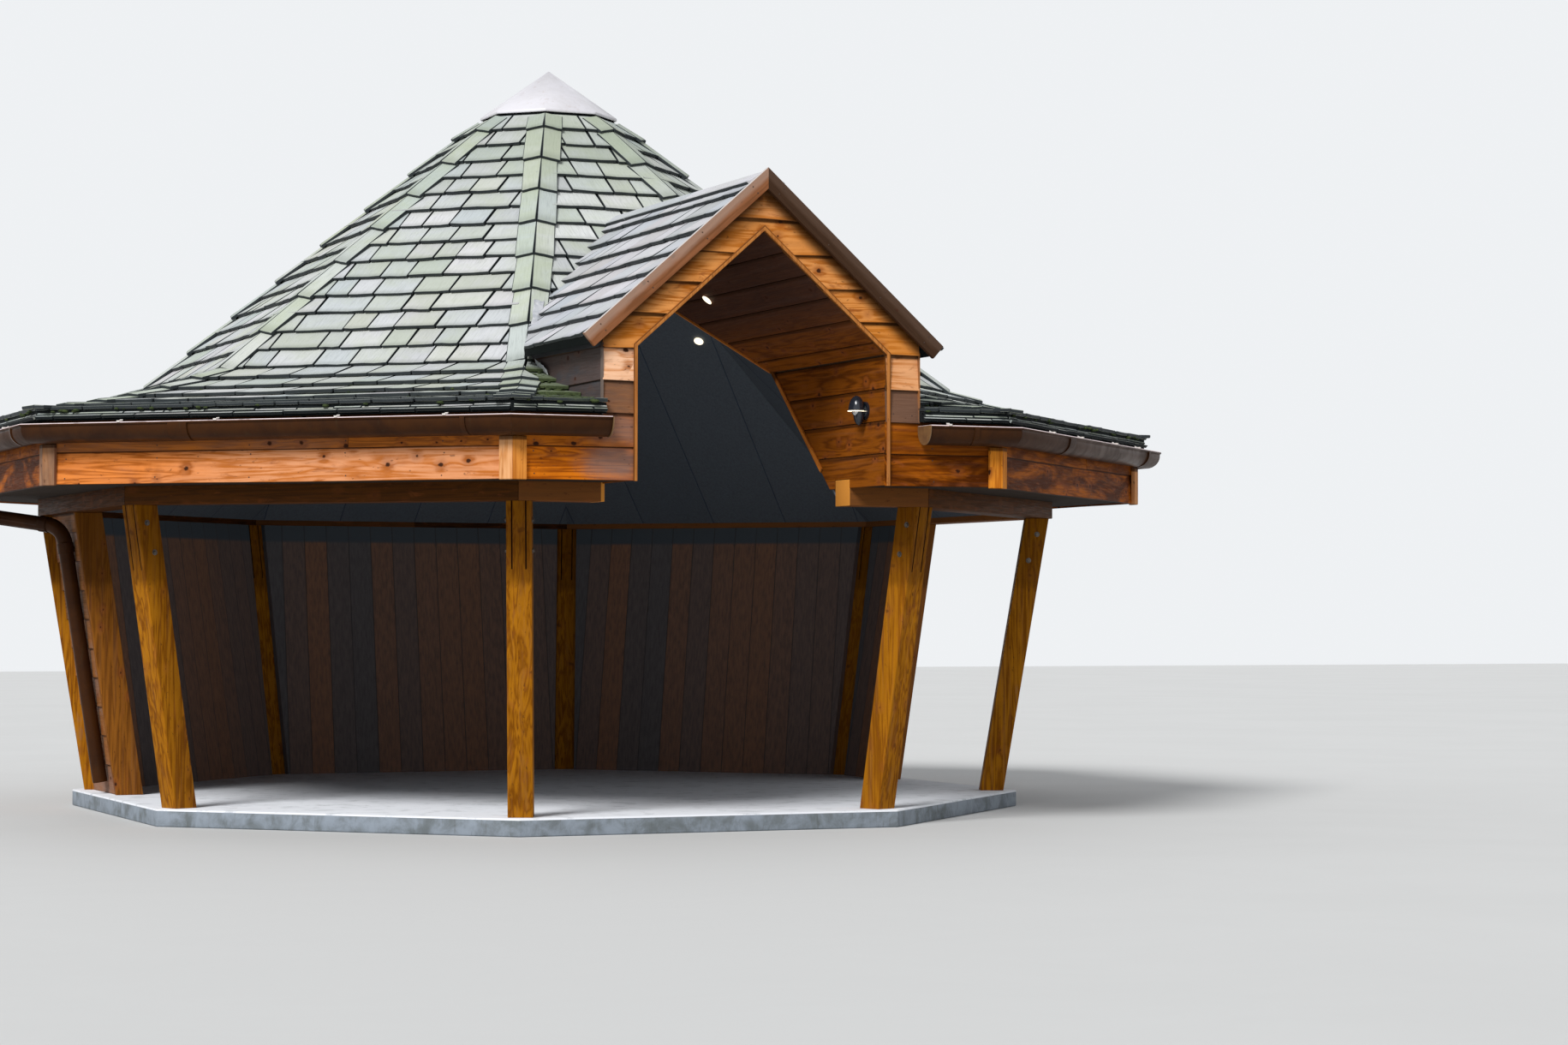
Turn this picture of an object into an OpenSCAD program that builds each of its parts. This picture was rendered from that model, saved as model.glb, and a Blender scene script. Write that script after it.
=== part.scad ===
// Eight-sided timber garden pavilion with a swept oast-style roof and a gabled entrance dormer.
// Millimetres. Origin on the ground under the roof's point, +Z up, entrance facing -Y.

/* [Plinth] */
// Across the plinth, face to face
plinth_across = 4640; // [4000:20:5400]
// Height of the plinth above the ground
plinth_h = 85; // [50:5:200]

/* [Posts] */
// Width of a post along the eaves
post_w = 116; // [90:2:150]
// Depth of a post from inside to outside
post_d = 120; // [90:2:160]
// Width of a post's middle lamination
post_core_w = 60; // [40:2:70]
// Width of the groove on each side of the middle lamination
post_groove_w = 4; // [2:1:8]
// Depth of those grooves
post_groove_d = 7; // [3:1:12]
// Length of those grooves, down from the ring beam
post_groove_l = 310; // [200:10:500]
// Gap from the plinth's corner to the foot of a post
post_foot_margin = 76; // [30:2:120]
// Outward lean of the posts, in degrees
post_lean = 9.5; // [4:0.5:12]

/* [Ring beam] */
// Height of the open sides, from the plinth to the ring beam
side_opening_h = 1450; // [1350:10:1700]
// Height of the ring beam
beam_h = 125; // [100:5:160]
// Thickness of the ring beam
beam_t = 160; // [120:5:180]

/* [Eaves] */
// From the ring beam's outer face to the fascia's face
eaves_reach = 405; // [335:10:485]
// From the ring beam's lower edge up to the fascia's lower edge
fascia_lift = 80; // [60:5:100]
// Height of board that shows, for every lapped board
board_cover = 150; // [120:5:170]
// Thickness of a lapped board at its lower edge
board_t = 24; // [18:1:30]
// How far a lapped board's face falls back towards its upper edge
board_slope = 9; // [4:1:12]
// Length of board hidden under the next one
board_lap = 22; // [10:1:35]
// Width of the cover boards at the fascia's corners
corner_board_w = 66; // [50:2:90]
// Thickness of the cover boards
corner_board_t = 20; // [12:1:26]
// Thickness of the boards under the eaves
soffit_t = 12; // [8:1:20]

/* [Gutter] */
// Width of the gutter from the fascia to its lip
gutter_w = 135; // [110:5:150]
// Depth of the gutter
gutter_d = 90; // [75:5:110]
// Thickness of the gutter's wall
gutter_t = 4; // [3:0.5:6]
// Radius of the rolled lip
gutter_lip_r = 7; // [5:0.5:10]
// From the fascia's lower edge up to the gutter's rim
gutter_rim_rise = 280; // [250:5:290]
// From the middle of the left side to the downpipe
pipe_side = 480; // [380:10:700]
// From the middle of the left side to the gutter's outlet
outlet_side = 1000; // [600:10:1150]
// Outside diameter of the downpipe
pipe_d = 76; // [60:2:90]
// Wall of the downpipe
pipe_t = 4; // [3:0.5:6]
// Radius of the downpipe's bends
pipe_bend_r = 110; // [80:10:140]
// Length of the sleeve at each end of a bend
pipe_sleeve = 50; // [40:5:60]

/* [Roof] */
// Main pitch of the roof, in degrees
roof_pitch = 41.5; // [38:0.5:45]
// From the fascia's lower edge up to the roof's edge
eave_rise = 335; // [320:5:360]
// How far the roof's edge stands over the fascia
eave_over = 50; // [30:5:70]
// Run of the swept lower roof, from its edge to the main pitch
sweep_run = 996; // [800:4:1100]
// Pitch at the roof's edge, in degrees
sweep_edge_pitch = 7; // [5:1:12]
// Pitch where the sweep meets the main roof, in degrees
sweep_top_pitch = 21.5; // [18:0.5:28]
// Courses of shingles on the sweep
sweep_courses = 6; // [4:1:8]
// Courses of shingles on the main roof
main_courses = 15; // [10:1:18]
// Thickness of boards and shingles together
roof_t = 40; // [34:1:50]
// Thickness of a shingle at its lower edge
shingle_butt = 9; // [6:1:12]
// Width of a hip capping to each side of the hip
hip_cap_w = 84; // [60:2:110]
// Thickness of a hip capping
hip_cap_t = 13; // [8:1:18]
// Thickness of a hip rafter
hip_rafter_w = 45; // [36:1:60]

/* [Metal cap] */
// Across the metal cap, face to face
cap_across = 676; // [560:4:800]
// Pitch of the metal cap, in degrees
cap_pitch = 37; // [30:1:40]
// Thickness of the metal cap with its lining board
cap_t = 12; // [8:1:20]
// Depth of the cap's turned-down edge
cap_skirt = 14; // [8:1:24]
// Depth of the housings that the rafters have in the block under the cap
king_housing = 30; // [15:5:60]

/* [Ceiling] */
// Thickness of the lining boards
lining_t = 12; // [9:1:18]
// From the ring beam's lower edge up to the ceiling's edge
ceiling_rise = 30; // [20:5:80]
// Pitch of the ceiling, in degrees
ceiling_pitch = 41; // [36:0.5:41]

/* [Entrance dormer] */
// Clear width of the entrance
entrance_w = 1235; // [1000:5:1400]
// Height of the entrance at its sides, above the plinth
entrance_side_h = 2135; // [2050:5:2250]
// Thickness of the dormer's side walls behind their boards
dormer_wall_t = 130; // [100:5:150]
// Depth of the dormer's rafters, square to the slope
dormer_rafter_d = 143; // [110:1:160]
// Thickness of the dormer's roof boards and shingles
dormer_roof_t = 36; // [30:1:60]
// How far the dormer's roof stands past its side boards
dormer_side_over = 90; // [50:5:120]
// How far the dormer's roof stands in front of the gable boards
dormer_front_over = 22; // [10:1:60]
// Width of the bargeboards
barge_w = 76; // [60:2:120]
// Thickness of the bargeboards
barge_t = 25; // [18:1:32]
// Width of the strip round the entrance
trim_w = 18; // [12:1:26]
// How far that strip stands proud of the boards
trim_t = 8; // [4:1:14]
// Courses of shingles on each side of the dormer
dormer_courses = 8; // [5:1:10]
// Width of each wing of the dormer's ridge cap
ridge_cap_w = 95; // [70:5:120]
// Thickness of the dormer's ridge cap
ridge_cap_t = 12; // [8:1:16]

/* [Walls] */
// Thickness of a boarded wall
wall_t = 90; // [70:5:110]
// How far the posts stand proud of the wall's boards
wall_recess = 30; // [15:5:45]
// From the middle of a side to the jamb of its opening
jamb_offset = 280; // [150:10:400]
// Thickness of a jamb
jamb_t = 40; // [30:2:50]
// Depth of a jamb from outside to inside
jamb_d = 140; // [110:5:160]
// How far a jamb stands out past the wall's boards
jamb_proud = 12; // [5:1:20]

/* [Lights] */
// Diameter of a downlight
downlight_d = 44; // [30:2:60]
// From the entrance's middle to its downlight
downlight_side = 225; // [100:5:400]
// From the building's middle out to that downlight
downlight_out = 1693; // [1500:1:2400]
// From the middle of the back right ceiling to its downlight
ceiling_light_side = 380; // [0:5:450]
// From the building's middle out to that downlight
ceiling_light_out = 1190; // [1100:10:1900]
// Diameter of the spot lamp's base
lamp_base_d = 60; // [50:2:80]
// From the fascia's face in to the spot lamp
lamp_in = 225; // [120:5:500]
// From the fascia's lower edge up to the spot lamp
lamp_rise = 355; // [200:5:500]

/* [Hidden] */

// Sides are numbered to the right from the entrance, corners from the one right of it
half = 22.5;
turn = 45;
reach = 5000;
joint = 1;
eps = 0.01;

// The plinth and the posts
floor_z = plinth_h;
plinth_corner = plinth_across / 2 / cos(half);
foot_r = plinth_corner - post_foot_margin - post_d / 2;
beam_z = floor_z + side_opening_h;
function post_r(z) = foot_r + (z - floor_z) * tan(post_lean);

// The ring beam and the eaves, as distances from the centre to a face
beam_mid = post_r(beam_z) * cos(half);
beam_out = beam_mid + beam_t / 2;
beam_in = beam_mid - beam_t / 2;
beam_top = beam_z + beam_h;
fascia = beam_out + eaves_reach;
fascia_back = fascia - board_t;
fascia_z = beam_z + fascia_lift;
soffit_z = fascia_z + 8;
soffit_top = soffit_z + soffit_t;

// The gutter's back touches the sloping face of the fascia's upper board
gutter_back = fascia - board_slope * (gutter_rim_rise - gutter_d + gutter_w / 2 - board_cover) / board_cover + 0.3;

// The roof's surface: its edge, its sweep and its main slope
eave = fascia + eave_over;
eave_z = fascia_z + eave_rise;
sweep_step = sweep_run / sweep_courses;
function sweep_pitch(i) = sweep_edge_pitch + (sweep_top_pitch - sweep_edge_pitch) * i / (sweep_courses - 1);
function sweep_z(i) = i == 0 ? eave_z : sweep_z(i - 1) + sweep_step * tan(sweep_pitch(i - 1));
kink = eave - sweep_run;
kink_z = sweep_z(sweep_courses);
cap_edge = cap_across / 2;
main_step = (kink - cap_edge) / main_courses;
function slope_z(u) = kink_z + (kink - u) * tan(roof_pitch);
// The metal cap's edge lies on the hip cappings, and its underside meets the roof further in
cap_z = slope_z(cap_edge) + (shingle_butt + hip_cap_t + 2) / cos(roof_pitch);
roof_in = cap_edge - (cap_z - slope_z(cap_edge) - cap_t / cos(cap_pitch) - 0.2) / (tan(roof_pitch) - tan(cap_pitch));
king = roof_in - joint;
// Height of the roof's surface at a distance from the centre
function sweep_part(u) = min(sweep_courses - 1, max(0, floor((eave - u) / sweep_step)));
function roof_z(u) = u <= kink ? slope_z(u)
    : sweep_z(sweep_part(u)) + (eave - sweep_part(u) * sweep_step - u) * tan(sweep_pitch(sweep_part(u)));
// Points of the courses from the roof's edge up: distance, height and pitch of each course's lower edge
course_points = concat(
    [for (i = [0:sweep_courses - 1]) [eave - i * sweep_step, sweep_z(i), sweep_pitch(i)]],
    [for (i = [0:main_courses - 1]) [kink - i * main_step, slope_z(kink - i * main_step), roof_pitch]],
    [[cap_edge, slope_z(cap_edge), roof_pitch]]);
function raised(p, pitch, t) = [p[0] + t * sin(pitch), p[1] + t * cos(pitch)];
// Each hip capping covers one course on the sweep and two on the main roof
hip_points = concat([for (i = [0:sweep_courses - 1]) course_points[i]],
    [for (i = [0:2:main_courses - 1]) course_points[sweep_courses + i]],
    [course_points[len(course_points) - 1]]);
// A lapped surface that lies at a height over the roof and steps by a butt at each point
function lapped(points, base, butt) = [for (i = [0:len(points) - 2])
    for (end = [0, 1]) let (pitch = points[i][2])
        raised(points[i + end], pitch, base + (end == 0 ? butt : 0))];
function underside(u, t) = [u, roof_z(u) - t / cos(u <= kink ? roof_pitch : sweep_pitch(sweep_part(u - eps)))];
under_points = concat([[eave, eave_z - roof_t / cos(sweep_edge_pitch)]],
    [for (i = [1:sweep_courses - 1]) [eave - i * sweep_step, sweep_z(i) - roof_t / cos(sweep_pitch(i - 1))]],
    [[kink, kink_z - roof_t / cos(roof_pitch)], [roof_in, slope_z(roof_in) - roof_t / cos(roof_pitch)]]);
// The fascia's upper board ends under the roof or at its own cover
fascia_top = min(fascia_z + 2 * board_cover,
    eave_z - roof_t / cos(sweep_edge_pitch) + eave_over * tan(sweep_edge_pitch));

// The ceiling
function ceiling_z(u) = beam_z + ceiling_rise + (beam_in - u) * tan(ceiling_pitch);
function ceiling_top(u) = ceiling_z(u) + lining_t / cos(ceiling_pitch);

// The entrance dormer, as half widths and heights of its nested outlines
door_half = entrance_w / 2;
door_side_z = floor_z + entrance_side_h;
door_apex_z = door_side_z + door_half * tan(roof_pitch);
// A gable outline whose sides stand out by a side and whose slopes rise by a rise, square to them
function gable_apex(rise) = door_apex_z + rise / cos(roof_pitch);
function gable(side, rise, base) = [[-door_half - side, base],
    [-door_half - side, gable_apex(rise) - (door_half + side) * tan(roof_pitch)],
    [0, gable_apex(rise)],
    [door_half + side, gable_apex(rise) - (door_half + side) * tan(roof_pitch)],
    [door_half + side, base]];
frame_side = lining_t + dormer_wall_t;
frame_rise = lining_t + dormer_rafter_d;
dormer_side = frame_side + board_t;
dormer_top_rise = frame_rise + dormer_roof_t;
dormer_roof_half = door_half + dormer_side + dormer_side_over;
dormer_front = fascia + dormer_front_over;
// The dormer's roof ends at the main roof, before this distance from the centre
dormer_back = kink - (gable_apex(dormer_top_rise + ridge_cap_t) - kink_z) / tan(roof_pitch) - 60;

// The walls
function wall_face(z) = (post_r(z) + post_d / 2 / cos(post_lean) - wall_recess) * cos(half);

timber = "peru";
dark_timber = "saddlebrown";
shingle_grey = "darkseagreen";
charcoal = "darkslategray";

// Places a shape in the middle of a side
module on_side(i) rotate([0, 0, turn * i]) children();

// Places a shape at a corner, outwards along -Y
module on_corner(i) rotate([0, 0, half + turn * i]) children();

// The sector in front of one side, kept a distance clear of the planes through its corners
module sector(clear, h = reach) {
    translate([0, -clear / sin(half), 0])
        linear_extrude(h)
            polygon([[0, 0], [-reach * tan(half), -reach], [reach * tan(half), -reach]]);
}

// A flat shape of distances from the centre and heights, drawn out along a side
module drawn(length) {
    rotate([0, 0, -90]) rotate([90, 0, 0])
        linear_extrude(length, center = true) children();
}

module along(points, length = 2 * reach) {
    drawn(length) polygon(points);
}

// An outline drawn out along a side and mitred at its corners
module mitred(points, clear = joint / 2) {
    intersection() {
        along(points, 2 * fascia);
        sector(clear);
    }
}

// A gable outline drawn out from a distance to another, both from the centre
module gable_run(points, from, to) {
    translate([0, -from, 0])
        rotate([90, 0, 0])
            linear_extrude(to - from) polygon(points);
}

// An eight-sided plate
module octagon(across_half, h) {
    rotate(half) cylinder(r = across_half / cos(half), h = h, $fn = 8);
}

module plinth() {
    color("slategray")
        octagon(plinth_across / 2, plinth_h);
}

// Outline of a post's length between two heights, moved out by a share of its depth
function post_outline(low, high, shift = 0) = let (depth = post_d / cos(post_lean))
    [for (p = [[-0.5, low], [0.5, low], [0.5, high], [-0.5, high]])
        [post_r(p[1]) + p[0] * depth + shift, p[1]]];

// Laminated post, leaning out, level at its foot and its head
module post(i) {
    groove_shift = (post_d - post_groove_d) / cos(post_lean);
    color(timber)
        on_corner(i)
            difference() {
                along(post_outline(floor_z, beam_z), post_w);
                for (side = [-1, 1], face = [-1, 1])
                    translate([side * (post_core_w + post_groove_w) / 2, 0, 0])
                        along(post_outline(beam_z - post_groove_l, beam_z, face * groove_shift), post_groove_w);
            }
}

module ring_beams() {
    section = [[beam_in, beam_z], [beam_out, beam_z], [beam_out, beam_top], [beam_in, beam_top]];
    color(timber) {
        for (i = [1:7])
            on_side(i) mitred(section);
        difference() {
            mitred(section);
            gable_run(gable(0, 0, 0), 0, reach);
        }
    }
}

module eaves_soffit() {
    section = [[beam_out, soffit_z], [fascia_back, soffit_z], [fascia_back, soffit_top], [beam_out, soffit_top]];
    color(dark_timber) {
        for (i = [1:7])
            on_side(i) mitred(section);
        difference() {
            mitred(section);
            gable_run(gable(lining_t, lining_t, 0), 0, reach);
        }
    }
}

// One lapped board of the fascia, with the tongue that goes under the next one
function board_section(z, top, tongue) = concat(
    [[fascia_back, z + (z > fascia_z ? board_lap : 0)]],
    z > fascia_z ? [[fascia_back + board_t / 2 - 1, z + board_lap], [fascia_back + board_t / 2 - 1, z]] : [],
    [[fascia, z], [fascia - board_slope, top]],
    tongue ? [[fascia_back + board_t / 2 - 1, top], [fascia_back + board_t / 2 - 1, top + board_lap],
        [fascia_back, top + board_lap]] : [[fascia_back, top]]);

module fascia_boards(z, top, tongue) {
    color(timber) {
        for (i = [1:7])
            on_side(i) mitred(board_section(z, top, tongue));
        difference() {
            mitred(board_section(z, top, tongue));
            gable_run(gable(0, 0, 0), 0, reach);
        }
    }
}

module fascia_lower_boards() fascia_boards(fascia_z, fascia_z + board_cover, true);

module fascia_upper_boards() fascia_boards(fascia_z + board_cover, fascia_top, false);

module corner_boards() {
    z = fascia_z - 4;
    top = fascia_z + gutter_rim_rise - gutter_d;
    run = (fascia + corner_board_t) * tan(half);
    color(timber)
        for (i = [0:7], side = [-1, 1])
            on_side(i)
                intersection() {
                    translate([side * (run - corner_board_w / 2) - corner_board_w / 2,
                            -fascia - corner_board_t, z])
                        cube([corner_board_w, corner_board_t, top - z]);
                    sector(joint / 2);
                }
}

// One side of the roof, stepped by its courses of shingles
module roof_side() {
    top = lapped(course_points, 0, shingle_butt);
    mitred(concat(under_points, [[roof_in, slope_z(roof_in)]], [for (i = [len(top) - 1:-1:0]) top[i]]));
}

module roof(i) {
    color(shingle_grey)
        on_side(i)
            difference() {
                roof_side();
                if (i == 0) {
                    gable_run(gable(frame_side, frame_rise, 0), 0, reach);
                    gable_run(gable(dormer_side, frame_rise, 0), fascia_back, reach);
                    // The boards are cut along the rafters that carry the dormer's sides
                    for (side = [-1, 1])
                        translate([side * (door_half + frame_side) - joint / 2, -reach, 0])
                            cube([joint, reach, reach]);
                }
            }
}

// Outline of a rafter under a hip, as distances across the flats and heights
function rafter_outline(end) = let (drop = hip_rafter_w / 2 * sin(half) * tan(roof_pitch),
        back = fascia_back - hip_rafter_w / 2 * sin(half))
    concat([[back, fascia_top - drop]],
        [for (i = [1:len(under_points) - 2]) under_points[i] - [0, drop]],
        [[end, underside(end, roof_t)[1] - drop]],
        [[end, ceiling_top(end)], [beam_in, ceiling_top(beam_in)], [beam_in, beam_top], [beam_out, beam_top],
            [beam_out, soffit_top], [back, soffit_top]]);

module rafter(i, width, end) {
    on_corner(i)
        along([for (p = rafter_outline(end)) [p[0] / cos(half), p[1]]], width);
}

module hip_rafters() {
    color(dark_timber)
        for (i = [0:7])
            difference() {
                rafter(i, hip_rafter_w, king - king_housing);
                if (i == 0 || i == 7)
                    gable_run(gable(frame_side, frame_rise, 0), 0, reach);
            }
}

// Block that the rafters are housed in
module king_block() {
    color(dark_timber)
        difference() {
            translate([0, 0, ceiling_top(0)])
                octagon(king, slope_z(roof_in) - ceiling_top(0));
            for (i = [0:7])
                rafter(i, hip_rafter_w + 2 * joint, king - king_housing - joint);
        }
}

// The dormer's outline with its roof, kept clear of the hip cappings
module dormer_space() {
    intersection() {
        gable_drawn(0, dormer_front + barge_t + joint)
            union() {
                polygon(gable(dormer_side + joint, frame_rise, fascia_top));
                for (side = [-1, 1])
                    scale([side, 1])
                        slope_layer(frame_rise - joint, dormer_top_rise + shingle_butt + joint,
                            dormer_roof_half + joint);
            }
        sector(0);
    }
}

// Lapped cappings on both sides of every hip
module hip_caps() {
    thin = 4;
    top = lapped(hip_points, shingle_butt + joint + thin, hip_cap_t - thin);
    bottom = [for (p = course_points) raised(p, p[2], shingle_butt + joint)];
    color(shingle_grey)
        difference() {
            for (i = [0:7])
                on_side(i)
                    difference() {
                        mitred(concat(bottom, [for (k = [len(top) - 1:-1:0]) top[k]]));
                        sector(hip_cap_w);
                    }
            dormer_space();
        }
}

// Folded metal cap with a turned-down edge
module metal_cap() {
    rise = cap_edge * tan(cap_pitch);
    inner = cap_edge - cap_t;
    color("gainsboro")
        rotate(half)
            difference() {
                union() {
                    translate([0, 0, cap_z])
                        cylinder(r1 = cap_edge / cos(half), r2 = 0, h = rise, $fn = 8);
                    translate([0, 0, cap_z - cap_skirt])
                        cylinder(r = cap_edge / cos(half), h = cap_skirt, $fn = 8);
                }
                translate([0, 0, cap_z - cap_skirt - 1])
                    cylinder(r = inner / cos(half), h = cap_skirt + 1, $fn = 8);
                translate([0, 0, cap_z - cap_t / cos(cap_pitch) + cap_t * tan(cap_pitch)])
                    cylinder(r1 = inner / cos(half), r2 = 0, h = inner * tan(cap_pitch), $fn = 8);
            }
}

module ceiling_lining() {
    section = [[beam_in, ceiling_z(beam_in)], [0, ceiling_z(0)], [0, ceiling_top(0)], [beam_in, ceiling_top(beam_in)]];
    color(charcoal)
        for (i = [0:7])
            on_side(i)
                difference() {
                    mitred(section);
                    if (i == 0)
                        gable_run(gable(lining_t, lining_t, 0), 0, reach);
                }
}

// Keeps what lies above a line of distances and heights on the entrance side
module above(line) {
    intersection() {
        children();
        along(concat(line, [[line[len(line) - 1][0], reach], [line[0][0], reach]]));
    }
}

// The half of a gable shape to one side of its middle
module gable_half(side) {
    intersection() {
        children();
        translate([side < 0 ? -reach : joint / 2, 0]) square([reach - joint / 2, reach]);
    }
}

// A flat gable shape drawn out from a distance to another, both from the centre
module gable_drawn(from, to) {
    translate([0, -from, 0]) rotate([90, 0, 0]) linear_extrude(to - from) children();
}

// Space up to the shingles, with a little clearance, that the dormer's outer pieces end at
module roof_space() {
    line = [for (p = course_points) raised(p, p[2], shingle_butt + joint)];
    for (i = [-1:1])
        on_side(i)
            intersection() {
                along(concat(line, [[0, line[len(line) - 1][1]], [0, 0], [line[0][0], 0]]));
                sector(0);
            }
}

// Side boards of the dormer, lapped, as a flat shape to the right of the entrance
module side_board_shape() {
    face = door_half + dormer_side;
    back = door_half + frame_side;
    base = fascia_z + 2 * board_cover;
    boards = ceil((door_side_z - base) / board_cover) + 1;
    teeth = [for (k = [0:boards - 1]) for (end = [0, 1])
        [face - end * board_slope, base + (k + end) * board_cover]];
    intersection() {
        polygon(concat([[back, base]], teeth, [[back, base + boards * board_cover]]));
        polygon(gable(dormer_side, frame_rise, 0));
    }
}

// Side wall of the dormer with its rafters above and its boards outside, up to the hips
module dormer_wall(side) {
    frame_line = [[fascia_back, soffit_top], [beam_out, soffit_top], [beam_out, beam_top], [beam_in, beam_top],
        [beam_in, ceiling_top(beam_in)], [0, ceiling_top(0)]];
    color("rosybrown")
        intersection() {
            union() {
                above(frame_line)
                    gable_drawn(0, fascia_back)
                        gable_half(side)
                            difference() {
                                polygon(gable(frame_side, frame_rise, 0));
                                polygon(gable(lining_t, lining_t, -1));
                            }
                difference() {
                    gable_drawn(0, fascia_back)
                        scale([side, 1]) side_board_shape();
                    roof_space();
                }
            }
            sector(joint / 2);
        }
}

module dormer_wall_left() dormer_wall(-1);

module dormer_wall_right() dormer_wall(1);

module gable_boards() {
    boards = ceil((gable_apex(frame_rise) - fascia_top) / board_cover);
    teeth = [for (k = [0:boards - 1]) for (end = [0, 1])
        [fascia - end * board_slope, fascia_top + (k + end) * board_cover]];
    color(timber)
        intersection() {
            along(concat([[fascia_back, fascia_top]], teeth,
                [[fascia_back, fascia_top + boards * board_cover]]), 2 * fascia);
            gable_drawn(fascia_back - 1, fascia + 1)
                difference() {
                    polygon(gable(dormer_side, frame_rise, 0));
                    polygon(gable(0, 0, -1));
                }
        }
}

module entrance_trim() {
    color("burlywood")
        gable_drawn(fascia, fascia + trim_t)
            difference() {
                polygon(gable(trim_w, trim_w, fascia_z));
                polygon(gable(0, 0, fascia_z - 1));
            }
}

// A sloping layer of the dormer's roof between two rises, square cut at its lower end
module slope_layer(low, high, run, courses = 0) {
    length = run / cos(roof_pitch);
    step = courses > 0 ? length / courses : length;
    butt = courses > 0 ? shingle_butt : 0;
    teeth = [for (k = [0:max(0, courses - 1)]) for (end = [0, 1])
        [length - (k + end) * step, high + (end == 0 ? butt : 0)]];
    shape = concat([[0, low]], [[length, low]], teeth);
    polygon([for (p = shape)
        [p[0] * cos(roof_pitch) + (p[1] - high) * sin(roof_pitch),
            door_apex_z - p[0] * sin(roof_pitch) + high / cos(roof_pitch) + (p[1] - high) * cos(roof_pitch)]]);
}

// One slope of the dormer's roof, ended at the hip and at the main roof
module dormer_roof(side) {
    color(shingle_grey)
        difference() {
            intersection() {
                gable_drawn(dormer_back, dormer_front)
                    scale([side, 1])
                        gable_half(1)
                            slope_layer(frame_rise, dormer_top_rise, dormer_roof_half, dormer_courses);
                sector(joint / 2);
            }
            roof_space();
        }
}

module dormer_roof_left() dormer_roof(-1);

module dormer_roof_right() dormer_roof(1);

module dormer_ridge_cap() {
    low = dormer_top_rise + shingle_butt + joint;
    color(shingle_grey)
        difference() {
            gable_drawn(dormer_back, dormer_front)
                for (side = [-1, 1])
                    scale([side, 1])
                        intersection() {
                            slope_layer(low, low + ridge_cap_t, ridge_cap_w * cos(roof_pitch));
                            square(reach);
                        }
            roof_space();
        }
}

module bargeboards() {
    high = dormer_top_rise + shingle_butt + joint + ridge_cap_t;
    color("sienna")
        for (side = [-1, 1])
            gable_drawn(dormer_front, dormer_front + barge_t)
                scale([side, 1])
                    gable_half(1)
                        slope_layer(high - barge_w, high, dormer_roof_half);
}

// Boards inside the dormer, from the gable back to the ceiling, notched over the ring beam
module dormer_lining() {
    low = beam_in - (fascia_z - ceiling_z(beam_in)) / tan(ceiling_pitch);
    color("saddlebrown")
        for (side = [-1, 1])
            above([[fascia_back, fascia_z], [beam_out + joint, fascia_z], [beam_out + joint, beam_top + joint],
                [beam_in - joint, beam_top + joint], [beam_in - joint, fascia_z], [low, fascia_z],
                [0, ceiling_z(0)]])
                gable_drawn(0, fascia_back)
                    gable_half(side)
                        difference() {
                            polygon(gable(lining_t, lining_t, 0));
                            polygon(gable(0, 0, -1));
                        }
}

// Half-round space under a gutter's rim, as a flat shape
module trough_shape(wall) {
    radius = gutter_w / 2;
    intersection() {
        translate([wall, wall - gutter_d]) square([gutter_w - 2 * wall, gutter_d]);
        union() {
            translate([wall, radius - gutter_d]) square([gutter_w - 2 * wall, gutter_d]);
            translate([radius, radius - gutter_d]) circle(r = radius - wall, $fn = 48);
        }
    }
}

// Deep gutter with a rolled lip, as a flat shape; solid where it is closed
module gutter_shape(closed) {
    translate([gutter_back, fascia_z + gutter_rim_rise]) {
        difference() {
            trough_shape(0);
            if (!closed)
                trough_shape(gutter_t);
        }
        difference() {
            translate([gutter_w, -gutter_lip_r]) circle(r = gutter_lip_r, $fn = 24);
            translate([0, -gutter_d]) square([gutter_w - gutter_t, gutter_d]);
        }
    }
}

module gutter_run() {
    intersection() {
        drawn(2 * (fascia + gutter_w)) gutter_shape(false);
        sector(joint / 2);
    }
}

module gutters() {
    stop = door_half + dormer_side;
    color("saddlebrown") {
        for (i = [1:7])
            on_side(i) gutter_run();
        for (side = [-1, 1])
            scale([side, 1, 1]) {
                difference() {
                    gutter_run();
                    translate([-reach, -reach, 0]) cube([reach + stop, reach, reach]);
                }
                translate([stop + gutter_t / 2, 0, 0])
                    drawn(gutter_t) gutter_shape(true);
            }
    }
}

// Turns a shape's upward direction to a direction
module aimed(d) {
    rotate([0, acos(d[2] / norm(d)), atan2(d[1], d[0])]) children();
}

// Direction from a point to another
function way(a, b) = (b - a) / norm(b - a);
// Length that a bend takes from the straight pipe before and after its corner
function bend_length(points, k) = k == 0 || k == len(points) - 1 ? 0
    : pipe_bend_r * tan(acos(way(points[k - 1], points[k]) * way(points[k], points[k + 1])) / 2);

// Straight pipe between two distances from a point
module pipe_length(at, direction, from, to, d) {
    translate(at) aimed(direction) translate([0, 0, from]) cylinder(d = d, h = to - from, $fn = 32);
}

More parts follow.
